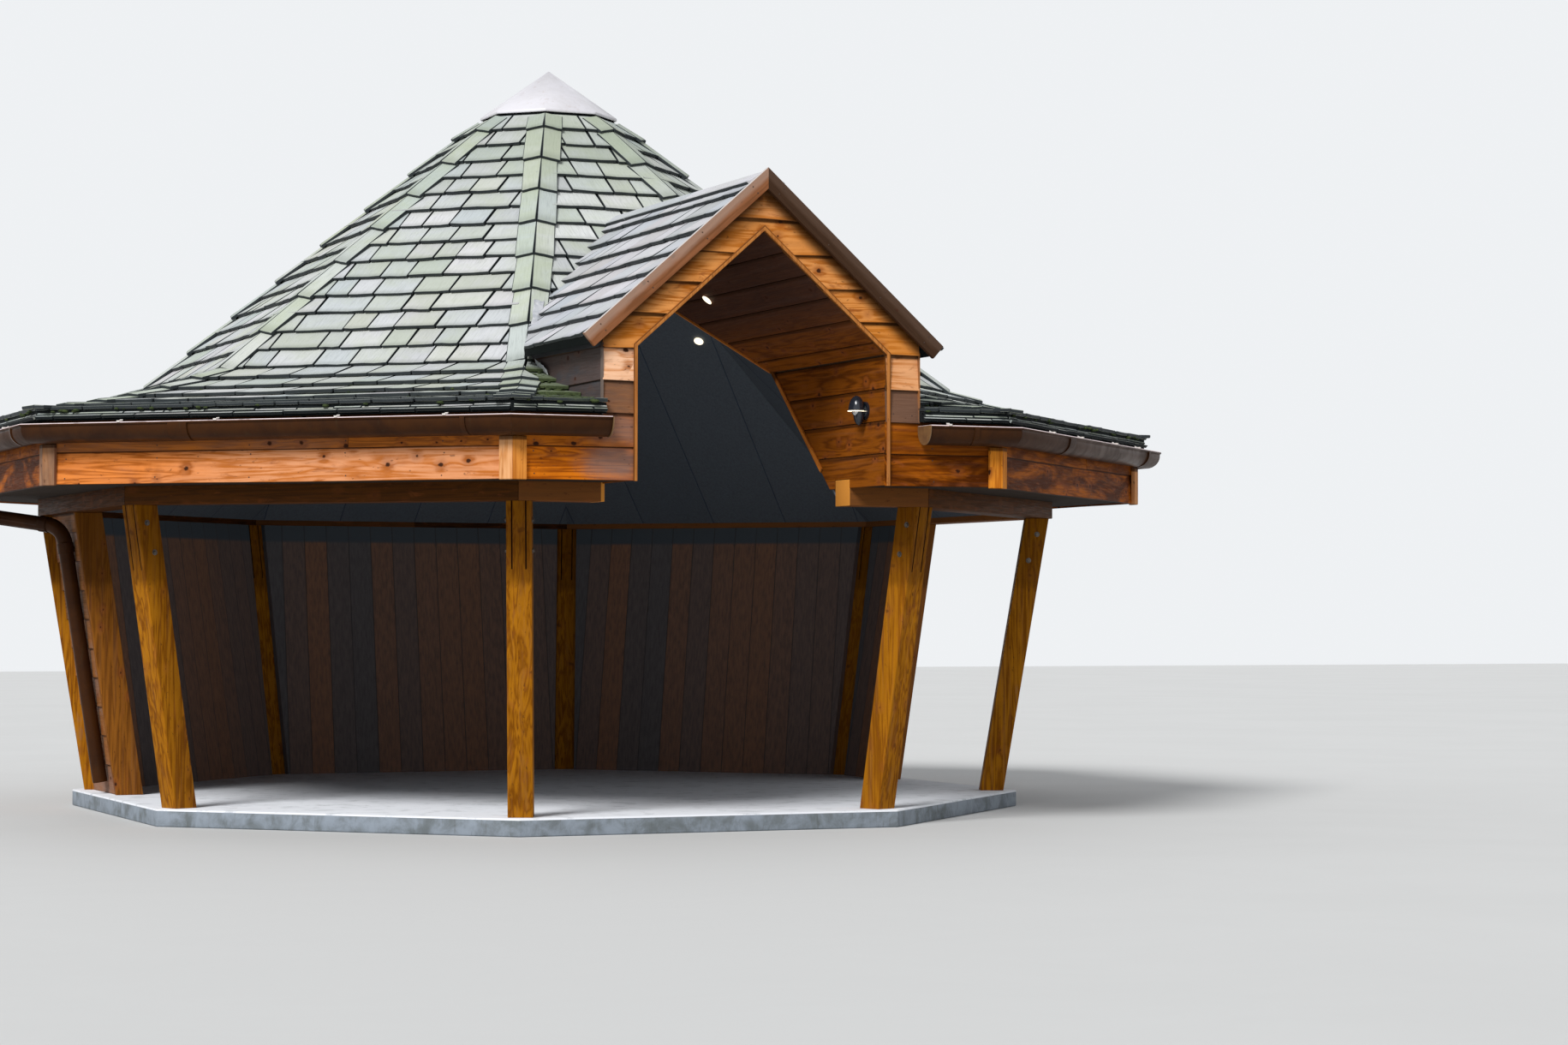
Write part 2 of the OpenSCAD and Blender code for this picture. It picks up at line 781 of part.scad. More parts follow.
// Bend round the corner at one point of a route, with a sleeve at each end
module pipe_bend(points, k) {
    before = way(points[k - 1], points[k]);
    after = way(points[k], points[k + 1]);
    angle = acos(before * after);
    start = bend_length(points, k);
    polar = acos(before[2]);
    azimuth = atan2(before[1], before[0]);
    across = [cos(polar) * cos(azimuth), cos(polar) * sin(azimuth), -sin(polar)];
    side = [-sin(azimuth), cos(azimuth), 0];
    translate(points[k])
        aimed(before)
            rotate([0, 0, atan2(after * side, after * across)])
                translate([pipe_bend_r, 0, -start])
                    rotate([90, 0, 0])
                        rotate([0, 0, 180 - angle])
                            rotate_extrude(angle = angle, $fn = 64)
                                translate([pipe_bend_r, 0]) circle(d = pipe_d, $fn = 32);
    pipe_length(points[k], -before, start - 2, start + pipe_sleeve, pipe_d + 2 * pipe_t);
    pipe_length(points[k], after, start - 2, start + pipe_sleeve, pipe_d + 2 * pipe_t);
}

// Round pipe along a list of points, with a bore at its foot
module pipe_run(points) {
    last = len(points) - 1;
    hidden = pipe_sleeve / 4;
    for (k = [0:last - 1])
        let (direction = way(points[k], points[k + 1]), length = norm(points[k + 1] - points[k]))
            difference() {
                pipe_length(points[k], direction, k == 0 ? 0 : bend_length(points, k) + hidden,
                    k == last - 1 ? length : length - bend_length(points, k + 1) - hidden, pipe_d);
                if (k == last - 1)
                    pipe_length(points[k], direction, length - pipe_d, length + 1, pipe_d - 2 * pipe_t);
            }
    for (k = [1:last - 1])
        pipe_bend(points, k);
}

module downpipe() {
    radius = gutter_w / 2;
    outlet = gutter_back + radius;
    gutter_mid = fascia_z + gutter_rim_rise - gutter_d + radius;
    clear = pipe_d / 2 + pipe_t + 2;
    bend_z = beam_z - 70;
    low_z = floor_z + 60;
    color("saddlebrown")
        on_side(6)
            difference() {
                pipe_run([[-outlet_side, -outlet, gutter_mid - radius + 16], [-outlet_side, -outlet, beam_z + 20],
                    [-pipe_side, -wall_face(bend_z) - clear, bend_z], [-pipe_side, -wall_face(low_z) - clear, low_z]]);
                translate([-outlet_side, -outlet, gutter_mid])
                    rotate([0, 90, 0])
                        cylinder(r = radius + 0.3, h = 4 * pipe_d, center = true, $fn = 48);
            }
}

// Leaning wall with lapped boards outside, as distances and heights
function wall_section() = let (boards = ceil((beam_z - floor_z) / board_cover)) concat(
    [[wall_face(floor_z) - wall_t, floor_z]],
    [for (k = [0:boards - 1]) for (end = [0, 1]) let (z = min(floor_z + (k + end) * board_cover, beam_z))
        [wall_face(z) - (end == 0 ? 0 : board_slope), z]],
    [[wall_face(beam_z) - wall_t, beam_z]]);

module wall_panel(from, to) {
    intersection() {
        translate([(from + to) / 2, 0, 0]) along(wall_section(), to - from);
        sector(post_w / 2);
    }
}

module side_wall_left() {
    color(timber) on_side(6) wall_panel(-fascia, -jamb_offset - jamb_t);
}

module side_wall_right() {
    color(timber) on_side(2) wall_panel(jamb_offset + jamb_t, fascia);
}

module back_wall_right() {
    color(timber) on_side(3) wall_panel(-fascia, fascia);
}

module back_wall() {
    color(timber) on_side(4) wall_panel(-fascia, fascia);
}

module back_wall_left() {
    color(timber) on_side(5) wall_panel(-fascia, fascia);
}

module wall_jambs() {
    section = [for (p = [[0, floor_z], [1, floor_z], [1, beam_z], [0, beam_z]])
        [wall_face(p[1]) + jamb_proud - (1 - p[0]) * jamb_d, p[1]]];
    color("chocolate")
        for (place = [[6, -1], [2, 1]])
            on_side(place[0])
                translate([place[1] * (jamb_offset + jamb_t / 2), 0, 0])
                    along(section, jamb_t);
}

module downlight() {
    translate([0, 0, 0.2]) {
        cylinder(d = downlight_d, h = 4, $fn = 32);
        cylinder(d = downlight_d - 14, h = 7, $fn = 32);
    }
}

// Downlights in the dormer's right slope and in the ceiling, and a spot lamp on the dormer's right side
module entrance_lights() {
    color("gainsboro") {
        translate([downlight_side, -downlight_out, door_apex_z - downlight_side * tan(roof_pitch)])
            rotate([0, 180 + roof_pitch, 0]) downlight();
        on_side(3)
            translate([-ceiling_light_side, -ceiling_light_out, ceiling_z(ceiling_light_out)])
                rotate([180 + ceiling_pitch, 0, 0]) downlight();
        translate([door_half - 0.2, -fascia + lamp_in, fascia_z + lamp_rise])
            rotate([0, -90, 0]) {
                cylinder(d = lamp_base_d, h = 12, $fn = 32);
                cylinder(d = lamp_base_d / 5, h = lamp_base_d * 0.75, $fn = 32);
                translate([0, 0, lamp_base_d * 0.75]) sphere(d = lamp_base_d * 0.85, $fn = 32);
            }
    }
}

plinth();
post(0);  // post_front_right
post(1);  // post_right_front
post(2);  // post_right_back
post(3);  // post_back_right
post(4);  // post_back_left
post(5);  // post_left_back
post(6);  // post_left_front
post(7);  // post_front_left
ring_beams();
eaves_soffit();
fascia_lower_boards();
fascia_upper_boards();
corner_boards();
roof(0);  // roof_front
roof(1);  // roof_front_right
roof(2);  // roof_right
roof(3);  // roof_back_right
roof(4);  // roof_back
roof(5);  // roof_back_left
roof(6);  // roof_left
roof(7);  // roof_front_left
hip_rafters();
king_block();
hip_caps();
metal_cap();
ceiling_lining();
dormer_wall_left();
dormer_wall_right();
gable_boards();
entrance_trim();
dormer_roof_left();
dormer_roof_right();
dormer_ridge_cap();
bargeboards();
dormer_lining();
gutters();
downpipe();
side_wall_left();
side_wall_right();
wall_jambs();
back_wall_left();
back_wall();
back_wall_right();
entrance_lights();
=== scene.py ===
# Eight-sided garden pavilion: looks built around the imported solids
import bpy, math, random
import numpy as np
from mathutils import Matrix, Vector


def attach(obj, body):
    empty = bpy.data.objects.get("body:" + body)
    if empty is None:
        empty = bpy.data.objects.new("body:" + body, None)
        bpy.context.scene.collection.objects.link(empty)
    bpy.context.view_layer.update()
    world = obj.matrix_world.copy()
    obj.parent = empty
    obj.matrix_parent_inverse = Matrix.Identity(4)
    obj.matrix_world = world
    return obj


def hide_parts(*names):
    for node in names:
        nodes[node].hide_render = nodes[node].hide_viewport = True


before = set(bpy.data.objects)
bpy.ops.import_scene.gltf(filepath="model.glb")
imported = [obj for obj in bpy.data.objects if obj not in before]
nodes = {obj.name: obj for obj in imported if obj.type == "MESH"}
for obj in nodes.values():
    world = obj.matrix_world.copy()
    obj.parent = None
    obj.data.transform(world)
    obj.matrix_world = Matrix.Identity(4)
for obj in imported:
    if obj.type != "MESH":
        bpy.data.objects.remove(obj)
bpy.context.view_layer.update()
scene = bpy.context.scene
bpy.ops.object.select_all(action="DESELECT")
print("frame loaded")

# metres; distances across the flats are measured from the middle, as the solids have them
half = math.radians(22.5)
flare = math.tan(half)
timber = {"fascia": 2.9034, "boardT": 0.024, "cover": 0.150, "fall": 0.009, "fasciaZ": 1.615, "eavesTop": 1.915,
          "beamZ": 1.535, "beamOut": 2.4984, "beamIn": 2.3384, "floorZ": 0.085}
roof = {"pitch": math.radians(41.5), "ceiling": math.radians(41), "edge": 2.9534, "edgeZ": 1.950, "sweepRun": 0.996,
        "sweepLow": 7.0, "sweepHigh": 21.5, "sweepCourses": 6, "mainCourses": 15, "capEdge": 0.338, "butt": 0.009}
door = {"half": 0.6175, "sideZ": 2.220, "lining": 0.012, "faceSide": 0.166, "faceRise": 0.155, "roofRise": 0.191,
        "roofHalf": 0.8735, "front": 2.9254, "roofBack": 1.0, "courses": 8, "bargeRise": 0.022}
door["apexZ"] = door["sideZ"] + door["half"] * math.tan(roof["pitch"])
door["ridgeZ"] = door["apexZ"] + door["roofRise"] / math.cos(roof["pitch"])
post = {"across": 2.320, "inset": 0.136, "lean": math.radians(9.5), "half": 0.058}
post["foot"] = post["across"] / math.cos(half) - post["inset"]


def turned(side, x, out, z):  # from in front of one side to the whole building
    angle = side * math.pi / 4
    return np.array([x * math.cos(angle) + out * math.sin(angle), x * math.sin(angle) - out * math.cos(angle), z])


# corners of a board run from its lower left round by its lower right
def panel(side, low, high, ends, upperEnds=None):  # low and high are a distance out and a height
    left, right = upperEnds or ends
    return [turned(side, ends[0], *low), turned(side, ends[1], *low), turned(side, right, *high),
            turned(side, left, *high)]


def handed(hand, ends):
    return ends if hand > 0 else ends[::-1]


def courseWays(side, pitch):  # square to one course of the roof, and down it
    return (turned(side, 0, math.sin(pitch), math.cos(pitch)), turned(side, 0, math.cos(pitch), -math.sin(pitch)))


def slopeWays(hand):  # square to one slope over the entrance, and down it
    across, down = math.sin(roof["pitch"]), math.cos(roof["pitch"])
    return np.array([hand * across, 0, down]), np.array([hand * down, 0, -across])


def slopePanel(hand, top, low, high, ends):  # low and high are lengths down that slope
    down = slopeWays(hand)[1]
    left, right = handed(hand, ends)
    return [np.array([0, y, top]) + down * run for y, run in ((left, low), (right, low), (right, high), (left, high))]


def uprightPanel(x, low, high, ends):
    return [(x, ends[0], low), (x, ends[1], low), (x, ends[1], high), (x, ends[0], high)]


# selecting, cutting and joining
def pick(*pieces):
    bpy.ops.object.select_all(action="DESELECT")
    for piece in pieces:
        piece.select_set(True)
    bpy.context.view_layer.objects.active = pieces[0]


def editAll(piece):
    pick(piece)
    bpy.ops.object.mode_set(mode="EDIT")
    bpy.ops.mesh.select_all(action="SELECT")


def joined(pieces, name):
    pick(*pieces)
    if len(pieces) > 1:
        bpy.ops.object.join()
    piece = bpy.context.object
    piece.name = name
    piece.data.name = name
    return piece


def twin(piece):  # a copy with its own mesh
    copy = piece.copy()
    copy.data = piece.data.copy()
    scene.collection.objects.link(copy)
    return copy


def fresh():  # the piece just added, with its turn and scale applied
    bpy.ops.object.transform_apply()
    return bpy.context.object


def cutAway(piece, point, direction):  # takes away what lies beyond the plane
    editAll(piece)
    bpy.ops.mesh.bisect(plane_co=tuple(point), plane_no=tuple(direction), use_fill=True, clear_outer=True,
                        threshold=0.00002)
    bpy.ops.object.mode_set(mode="OBJECT")


def applied(piece, kind, **settings):
    pick(piece)
    modifier = piece.modifiers.new(kind.title(), kind)
    for name, value in settings.items():
        setattr(modifier, name, value)
    bpy.ops.object.modifier_apply(modifier=modifier.name)


def carved(piece, tool, operation="DIFFERENCE"):
    applied(piece, "BOOLEAN", object=tool, operation=operation, solver="EXACT", use_self=True)
    bpy.data.objects.remove(tool)


def upperFaces(piece, axis=2):  # left in edit mode, with the faces that look along the axis selected
    pick(piece)
    bpy.ops.object.mode_set(mode="EDIT")
    bpy.ops.mesh.select_mode(type="FACE")
    bpy.ops.mesh.select_all(action="DESELECT")
    bpy.ops.object.mode_set(mode="OBJECT")
    for face in piece.data.polygons:
        face.select = face.normal[axis] > 0.9
    bpy.ops.object.mode_set(mode="EDIT")


def drawnUp(piece, step, axis=2):
    upperFaces(piece, axis)
    bpy.ops.mesh.extrude_region_move(TRANSFORM_OT_translate={"value": step})


def besideSide(piece, side):  # from in front of side 0 to another side
    pick(piece)
    bpy.ops.transform.rotate(value=-side * math.pi / 4, orient_axis="Z", center_override=(0, 0, 0))
    return fresh()


def gableBlock(widen, rise, back=0.1, front=3.2):  # solid with the outline of the gabled entrance
    wide = door["half"] + widen
    apex = door["apexZ"] + rise / math.cos(roof["pitch"])
    side = apex - wide * math.tan(roof["pitch"])
    bpy.ops.mesh.primitive_cube_add(size=1, location=(0, -(back + front) / 2, side / 2),
                                    scale=(2 * wide, front - back, side))
    block = fresh()
    drawnUp(block, (0, 0, apex - side))
    bpy.ops.transform.resize(value=(0, 1, 1), center_override=(0, -(back + front) / 2, apex))
    bpy.ops.mesh.select_all(action="SELECT")
    bpy.ops.mesh.remove_doubles(threshold=0.0001)
    bpy.ops.mesh.normals_make_consistent(inside=False)
    bpy.ops.object.mode_set(mode="OBJECT")
    return block


# blanks: one modelled piece of each kind, copied to every place
def blankBoard(name, size, acrossCuts, alongCuts, bevel):
    bpy.ops.mesh.primitive_cube_add(size=1, location=[length / 2 for length in size], scale=size)
    piece = fresh()
    piece.name = name
    piece.data.uv_layers[0].name = "grain"
    piece.data.uv_layers.new(name="spot")
    editAll(piece)
    for axis, cuts in ((0, acrossCuts), (1, alongCuts)):
        for cut in range(1, cuts + 1):
            place, normal = [0, 0, 0], [0, 0, 0]
            place[axis] = size[axis] * cut / (cuts + 1)
            normal[axis] = 1
            bpy.ops.mesh.select_all(action="SELECT")
            bpy.ops.mesh.bisect(plane_co=place, plane_no=normal)
    bpy.ops.object.mode_set(mode="OBJECT")
    applied(piece, "BEVEL", width=bevel, segments=1, limit_method="ANGLE", angle_limit=math.radians(60))
    unit = np.array([list(v.co) for v in piece.data.vertices]) / np.array(size)
    loops = np.array([loop.vertex_index for loop in piece.data.loops])
    return {"piece": piece, "unit": unit, "loops": loops, "count": 0}


def laidCopy(blank, corners, normal, lift, thick, draw, grain="x", wave=0.0, cup=0.0, ragged=0.0, tone=None):
    # lift and thickness are given at the lower and the upper edge
    piece = twin(blank["piece"])
    blank["count"] += 1
    x, y, z = blank["unit"].T
    a, b, c, d = [np.array(corner, dtype=float) for corner in corners]
    length = np.linalg.norm(b - a)
    width = np.linalg.norm(d - a)
    upward = (d - a) / width
    edge = 1 - y
    shift = np.zeros(len(x))
    if wave:
        phase, slow, fast = draw.uniform(0, 9), draw.uniform(1.5, 3), draw.uniform(5, 9)
        shift += wave * edge * (np.sin(phase + slow * x * length) + 0.5 * np.sin(2 * phase + fast * x * length))
    if ragged:
        columns = np.round(x * 6).astype(int)
        shift += edge ** 3 * np.array([draw.uniform(-ragged, ragged) for _ in range(8)])[columns]
    height = lift[0] * edge + lift[1] * y + z * (thick[0] * edge + thick[1] * y) + cup * (2 * x - 1) ** 2
    places = (np.outer((1 - x) * edge, a) + np.outer(x * edge, b) + np.outer(x * y, c) + np.outer((1 - x) * y, d)
              + np.outer(height, normal) + np.outer(shift, upward))
    piece.data.vertices.foreach_set("co", places.ravel())
    # the grain layer holds the length along the grain, and the board's number plus the place across it
    across = (y * width if grain == "x" else x * length) + z * thick[0]
    run = (x * length if grain == "x" else y * width) + draw.uniform(0, 20)
    shade = x if grain == "y" and tone is None else np.full(len(y), draw.random() if tone is None else tone)
    for layer, first, second in (("grain", run, blank["count"] + 0.1 + across * 0.8), ("spot", shade, y)):
        spots = np.stack([first, second], axis=1)[blank["loops"]]
        piece.data.uv_layers[layer].data.foreach_set("uv", spots.ravel().astype(np.float32))
    return piece


shingleBlank = blankBoard("shingleBlank", (0.125, 0.180, 0.010), 2, 1, 0.0016)
boardBlank = blankBoard("boardBlank", (1.0, 0.150, 0.020), 15, 1, 0.0025)
shortBlank = blankBoard("shortBlank", (0.30, 0.100, 0.014), 3, 1, 0.0022)


def coursePoints():  # courses of the roof, from its edge up: distance out, height and pitch
    points = []
    out, z = roof["edge"], roof["edgeZ"]
    step = roof["sweepRun"] / roof["sweepCourses"]
    for course in range(roof["sweepCourses"]):
        share = course / (roof["sweepCourses"] - 1)
        pitch = math.radians(roof["sweepLow"] + (roof["sweepHigh"] - roof["sweepLow"]) * share)
        points.append((out, z, pitch))
        out, z = out - step, z + step * math.tan(pitch)
    step = (out - roof["capEdge"]) / roof["mainCourses"]
    for course in range(roof["mainCourses"] + 1):
        points.append((out, z, roof["pitch"]))
        out, z = out - step, z + step * math.tan(roof["pitch"])
    return points


courses = coursePoints()


def roofHeight(x, y):
    out = max(x * math.sin(side * math.pi / 4) - y * math.cos(side * math.pi / 4) for side in range(8))
    return np.interp(out, [point[0] for point in courses[::-1]], [point[1] for point in courses[::-1]])


# shingles
shingleLook = {"widths": (0.115, 0.290), "gap": (0.005, 0.010), "over": (0.006, 0.014), "lift": (0.001, 0.003),
               "thick": (0.013, 0.018), "upperThick": 0.004, "cup": (-0.0005, 0.0025), "ragged": 0.003, "slew": 0.003,
               "hipClear": 0.008, "dormerClear": 0.012}
starterLook = {"rows": 2, "drop": 0.033, "step": 0.018, "out": 0.011, "inStep": 0.006, "lean": (-0.021, 0.016),
               "butts": (0.015, 0.005), "upperThick": 0.005, "gap": 0.004, "jitter": 0.002, "ragged": 0.001}


def laidShingle(corners, normal, draw):
    look = shingleLook
    lift = (roof["butt"] + draw.uniform(*look["lift"]), 0.001)
    return laidCopy(shingleBlank, corners, normal, lift, (draw.uniform(*look["thick"]), look["upperThick"]), draw,
                    grain="y", cup=draw.uniform(*look["cup"]), ragged=look["ragged"])


def starterShingles(side, draw):  # short rows that hang over the roof's edge
    look = starterLook
    lean = look["lean"]
    copies = []
    for row in range(look["rows"]):
        out = roof["edge"] + look["out"] - look["inStep"] * row
        z = roof["edgeZ"] - look["drop"] + look["step"] * row
        normal = turned(side, 0, lean[1], -lean[0]) / math.hypot(*lean)
        x = -out * flare - draw.uniform(0, 0.1)
        while x < out * flare:
            width = draw.uniform(*shingleLook["widths"])
            low = z + draw.uniform(-look["jitter"], look["jitter"])
            corners = panel(side, (out, low), (out + lean[0], low + lean[1]), (x, x + width - look["gap"]))
            thick = (look["butts"][row] + draw.uniform(0, look["jitter"]), look["upperThick"])
            copies.append(laidCopy(shingleBlank, corners, normal, (0, 0), thick, draw, grain="y",
                                   ragged=look["ragged"]))
            x += width
    return copies


def shingledSide(side):
    look = shingleLook
    draw = random.Random(300 + side)
    copies = starterShingles(side, draw)
    for low, high in zip(courses, courses[1:]):
        normal, down = courseWays(side, low[2])
        reach = low[0] * flare
        x = -reach - draw.uniform(0, 0.08)
        while x < reach:
            width = draw.uniform(*look["widths"])
            end = x + width - draw.uniform(*look["gap"])
            over = draw.uniform(*look["over"])
            slew = draw.uniform(-look["slew"], look["slew"])
            corners = panel(side, low[:2], high[:2], (x, end), (x + abs(slew), end - abs(slew)))
            corners[0] += down * (over + slew)
            corners[1] += down * (over - slew)
            copies.append(laidShingle(corners, normal, draw))
            x += width
    piece = joined(copies, "shingles_" + str(side))
    for hand in (-1, 1):
        edge = turned(side, 0, look["hipClear"] / math.sin(half), 0)
        cutAway(piece, edge, turned(side, hand * math.cos(half), -math.sin(half), 0))
    if side == 0:
        carved(piece, gableBlock(door["faceSide"], door["roofRise"] - look["dormerClear"]))
    return piece


sides = [shingledSide(side) for side in range(8)]
print("shingles laid:", shingleBlank["count"])

saddleLook = {"wing": 0.091, "wingJitter": 0.007, "thick": (0.017, 0.009), "over": 0.014, "overJitter": (-0.004, 0.006),
              "skew": 0.005, "meet": 0.0145, "lift": 0.019, "liftJitter": 0.003, "upperLift": 0.010, "lastLift": 0.004,
              "ragged": 0.002}


def hipSaddles():
    look = saddleLook
    draw = random.Random(41)
    sweep = roof["sweepCourses"]
    points = courses[:sweep] + courses[sweep:-1:2] + courses[-1:]  # two courses to one saddle above the sweep
    copies = []
    for hip in range(8):
        for low, high in zip(points, points[1:]):
            pitch = low[2]
            skew = draw.uniform(-look["skew"], look["skew"])
            for side, hand in ((hip, 1), (hip + 1, -1)):
                normal, down = courseWays(side, pitch)
                wing = look["wing"] + draw.uniform(-look["wingJitter"], look["wingJitter"])
                slant = wing * flare * math.cos(pitch)  # the butts are square to the hip
                over = look["over"] + draw.uniform(*look["overJitter"])
                corners = []
                for spot, tilt, inner in ((low, skew, over), (high, -skew, 0)):
                    out, z = spot[:2]
                    outer = inner + slant
                    wingX = (out + outer * math.cos(pitch)) * flare - wing - hand * tilt
                    hipX = (out + inner * math.cos(pitch) + look["meet"]) * flare
                    ends = [turned(side, hand * wingX, out, z) + down * outer,
                            turned(side, hand * hipX, out, z) + down * inner]
                    corners += ends[::-1] if (hand < 0) == (spot is low) else ends
                lift = (look["lift"] + draw.uniform(0, look["liftJitter"]),
                        look["lastLift"] if high is points[-1] else look["upperLift"])
                copies.append(laidCopy(shortBlank, corners, normal, lift, look["thick"], draw, grain="y",
                                       ragged=look["ragged"]))
    return joined(copies, "hipSaddles")


def entranceSpace():  # what the gabled roof covers between the two front hips
    block = gableBlock(door["roofHalf"] - door["half"] + 0.01, door["roofRise"] + 0.004)
    for hand in (-1, 1):
        cutAway(block, (0, 0, 0), (hand * math.cos(half), math.sin(half), 0))
    return block


saddles = hipSaddles()
carved(saddles, entranceSpace())


dormerLook = {"endGap": 0.001, "least": 0.03, "hidden": 0.02, "ridgeLap": 0.003, "hipClear": 0.004}


def dormerShingles(hand):
    look = dict(shingleLook, **dormerLook)
    draw = random.Random(70 + hand)
    slope = door["roofHalf"] / math.cos(roof["pitch"])
    step = slope / door["courses"]
    copies = []
    for course in range(door["courses"]):
        low = slope - course * step
        y = -door["front"] - draw.uniform(0, 0.08)
        while y < -door["roofBack"]:
            width = draw.uniform(*look["widths"])
            ends = (max(y, -door["front"] + look["endGap"]), y + width - draw.uniform(*look["gap"]))
            y += width
            if ends[1] - ends[0] < look["least"]:
                continue
            corners = slopePanel(hand, door["ridgeZ"], low + draw.uniform(*look["over"]), low - step, ends)
            if all(spot[2] + look["hidden"] < roofHeight(spot[0], spot[1]) for spot in corners):
                continue
            copies.append(laidShingle(corners, slopeWays(hand)[0], draw))
    piece = joined(copies, "dormerShingles_" + ("right" if hand > 0 else "left"))
    cutAway(piece, (-hand * look["ridgeLap"], 0, 0), (-hand, 0, 0))
    cutAway(piece, (0, -look["hipClear"] / math.sin(half), 0), (hand * math.cos(half), math.sin(half), 0))
    return piece


dormerSides = [dormerShingles(hand) for hand in (-1, 1)]

ridgeLook = {"wing": 0.096, "jitter": 0.003, "lengths": (0.70, 0.90), "farEnd": -0.75, "joint": 0.003,
             "lift": (0.016, 0.009), "thick": (0.019, 0.009)}


def ridgeBoards():
    look = ridgeLook
    draw = random.Random(17)
    copies = []
    y = -door["front"] + 0.001
    while y < -door["roofBack"]:
        end = min(y + draw.uniform(*look["lengths"]), look["farEnd"])
        for hand in (-1, 1):
            wing = look["wing"] + draw.uniform(-look["jitter"], look["jitter"])
            corners = slopePanel(hand, door["ridgeZ"], wing, 0, (y, end))
            copies.append(laidCopy(boardBlank, corners, slopeWays(hand)[0], look["lift"], look["thick"], draw,
                                   wave=0.001, tone=0.5))
        y = end + look["joint"]
    return joined(copies, "ridgeBoards")


ridge = ridgeBoards()
print("saddles laid")

# boards laid round the eaves; a tone below 0 is fresh stain and below -1 darker, above 0 it is faded
eavesLook = {"endGap": 0.004, "lowerLap": 0.018, "lowerWave": 0.0010, "upperWave": 0.0012, "joints": (0.3, 0.7),
             "leftJoint": 0.66, "jointGap": 0.001, "sink": 0.001, "lowerTones": {1: -1.9, 2: -1.7, 6: -1.9},
             "upperTones": {1: -1.75, 2: -1.6, 6: -1.6}, "frontTones": {-1: (-1.0, -0.7), 1: (-1.9, -1.6)}}


def eavesBoards():
    look = eavesLook
    draw = random.Random(5)
    lower, upper = [], []
    fascia, thick = timber["fascia"], timber["boardT"]
    back = fascia - thick
    face = thick - timber["fall"]
    low = timber["fasciaZ"]
    lap = low + timber["cover"]
    for side in range(8):
        reach = fascia * flare - look["endGap"]
        normal = turned(side, 0, 1, 0)
        for start, end in [(-reach, reach)] if side else [(-reach, -door["half"]), (door["half"], reach)]:
            tones = look["lowerTones"].get(side), look["upperTones"].get(side)
            if side == 0:
                tones = look["frontTones"][1 if start > 0 else -1]
            lower.append(laidCopy(boardBlank, panel(side, (back, low), (back, lap + look["lowerLap"]), (start, end)),
                                  normal, (0, 0), (thick, face - look["sink"]), draw, wave=look["lowerWave"],
                                  tone=tones[0]))
            joint = start + (end - start) * (look["leftJoint"] if side == 7 else draw.uniform(*look["joints"]))
            runs = [(start, joint - look["jointGap"]), (joint + look["jointGap"], end)] if side else [(start, end)]
            for run in runs:
                upper.append(laidCopy(boardBlank, panel(side, (back, lap), (back, timber["eavesTop"]), run),
                                      normal, (face - look["sink"], 0), (timber["fall"] + look["sink"], face),
                                      draw, wave=look["upperWave"], tone=tones[1]))
    return joined(lower, "fasciaLower"), joined(upper, "fasciaUpper")


fasciaLower, fasciaUpper = eavesBoards()

cornerLook = {"wide": 0.066, "solidThick": 0.020, "thick": 0.0195, "low": 1.611, "high": 1.805, "clear": 0.0005,
              "endGap": 0.0006,
              "tones": {(7, -1): 1.2, (6, 1): 1.2, (7, 1): 0.0, (0, -1): -0.8, (0, 1): -1.0, (1, -1): -1.1}}


def cornerBoards():
    look = cornerLook
    draw = random.Random(8)
    copies = []
    reach = (timber["fascia"] + look["solidThick"]) * flare
    out = timber["fascia"] + look["clear"]
    for side in range(8):
        for hand in (-1, 1):
            ends = sorted((hand * (reach - look["wide"]), hand * (reach - look["endGap"])))
            copies.append(laidCopy(shortBlank, panel(side, (out, look["low"]), (out, look["high"]), ends),
                                   turned(side, 0, 1, 0), (0, 0), (look["thick"], look["thick"]), draw, grain="y",
                                   tone=look["tones"].get((side, hand))))
    return joined(copies, "cornerBoards")


corners = cornerBoards()

gableLook = {"reach": 0.80, "lap": 0.016, "above": 0.3, "firstLift": 0.012, "lift": 0.0135, "thick": (0.0155, 0.0120),
             "wave": 0.0060, "tones": {(0, -1): 0.98, (1, -1): -0.9, (0, 1): 1.05, (1, 1): -0.35},
             "otherTones": (-0.2, 0.4), "back": 2.5}


def gableBoards():
    look = gableLook
    draw = random.Random(23)
    back = timber["fascia"] - timber["boardT"]
    copies = []
    low, course = timber["eavesTop"], 0
    while low < door["apexZ"] + look["above"]:
        high = low + timber["cover"] + look["lap"]
        inner = min(door["half"], max(0, (door["apexZ"] - high) / math.tan(roof["pitch"])))
        reach = look["reach"]
        for ends in [(-reach, -inner), (inner, reach)] if inner > 0.02 else [(-reach, reach)]:
            tone = look["tones"].get((course, 1 if ends[0] > 0 else -1), draw.uniform(*look["otherTones"]))
            lift = (look["lift"] if course else look["firstLift"], 0)
            copies.append(laidCopy(boardBlank, panel(0, (back, low), (back, high), ends), (0, -1, 0), lift,
                                   look["thick"], draw, wave=look["wave"], tone=tone))
        low += timber["cover"]
        course += 1
    piece = joined(copies, "gableBoards")
    carved(piece, gableBlock(0, 0, look["back"]))
    carved(piece, gableBlock(door["faceSide"], door["faceRise"], look["back"]), "INTERSECT")
    return piece


gable = gableBoards()

stileLook = {"wide": 0.018, "proud": 0.004, "sunk": 0.004, "low": 1.905, "high": 2.235, "tones": {-1: 1.1, 1: 0.5}}


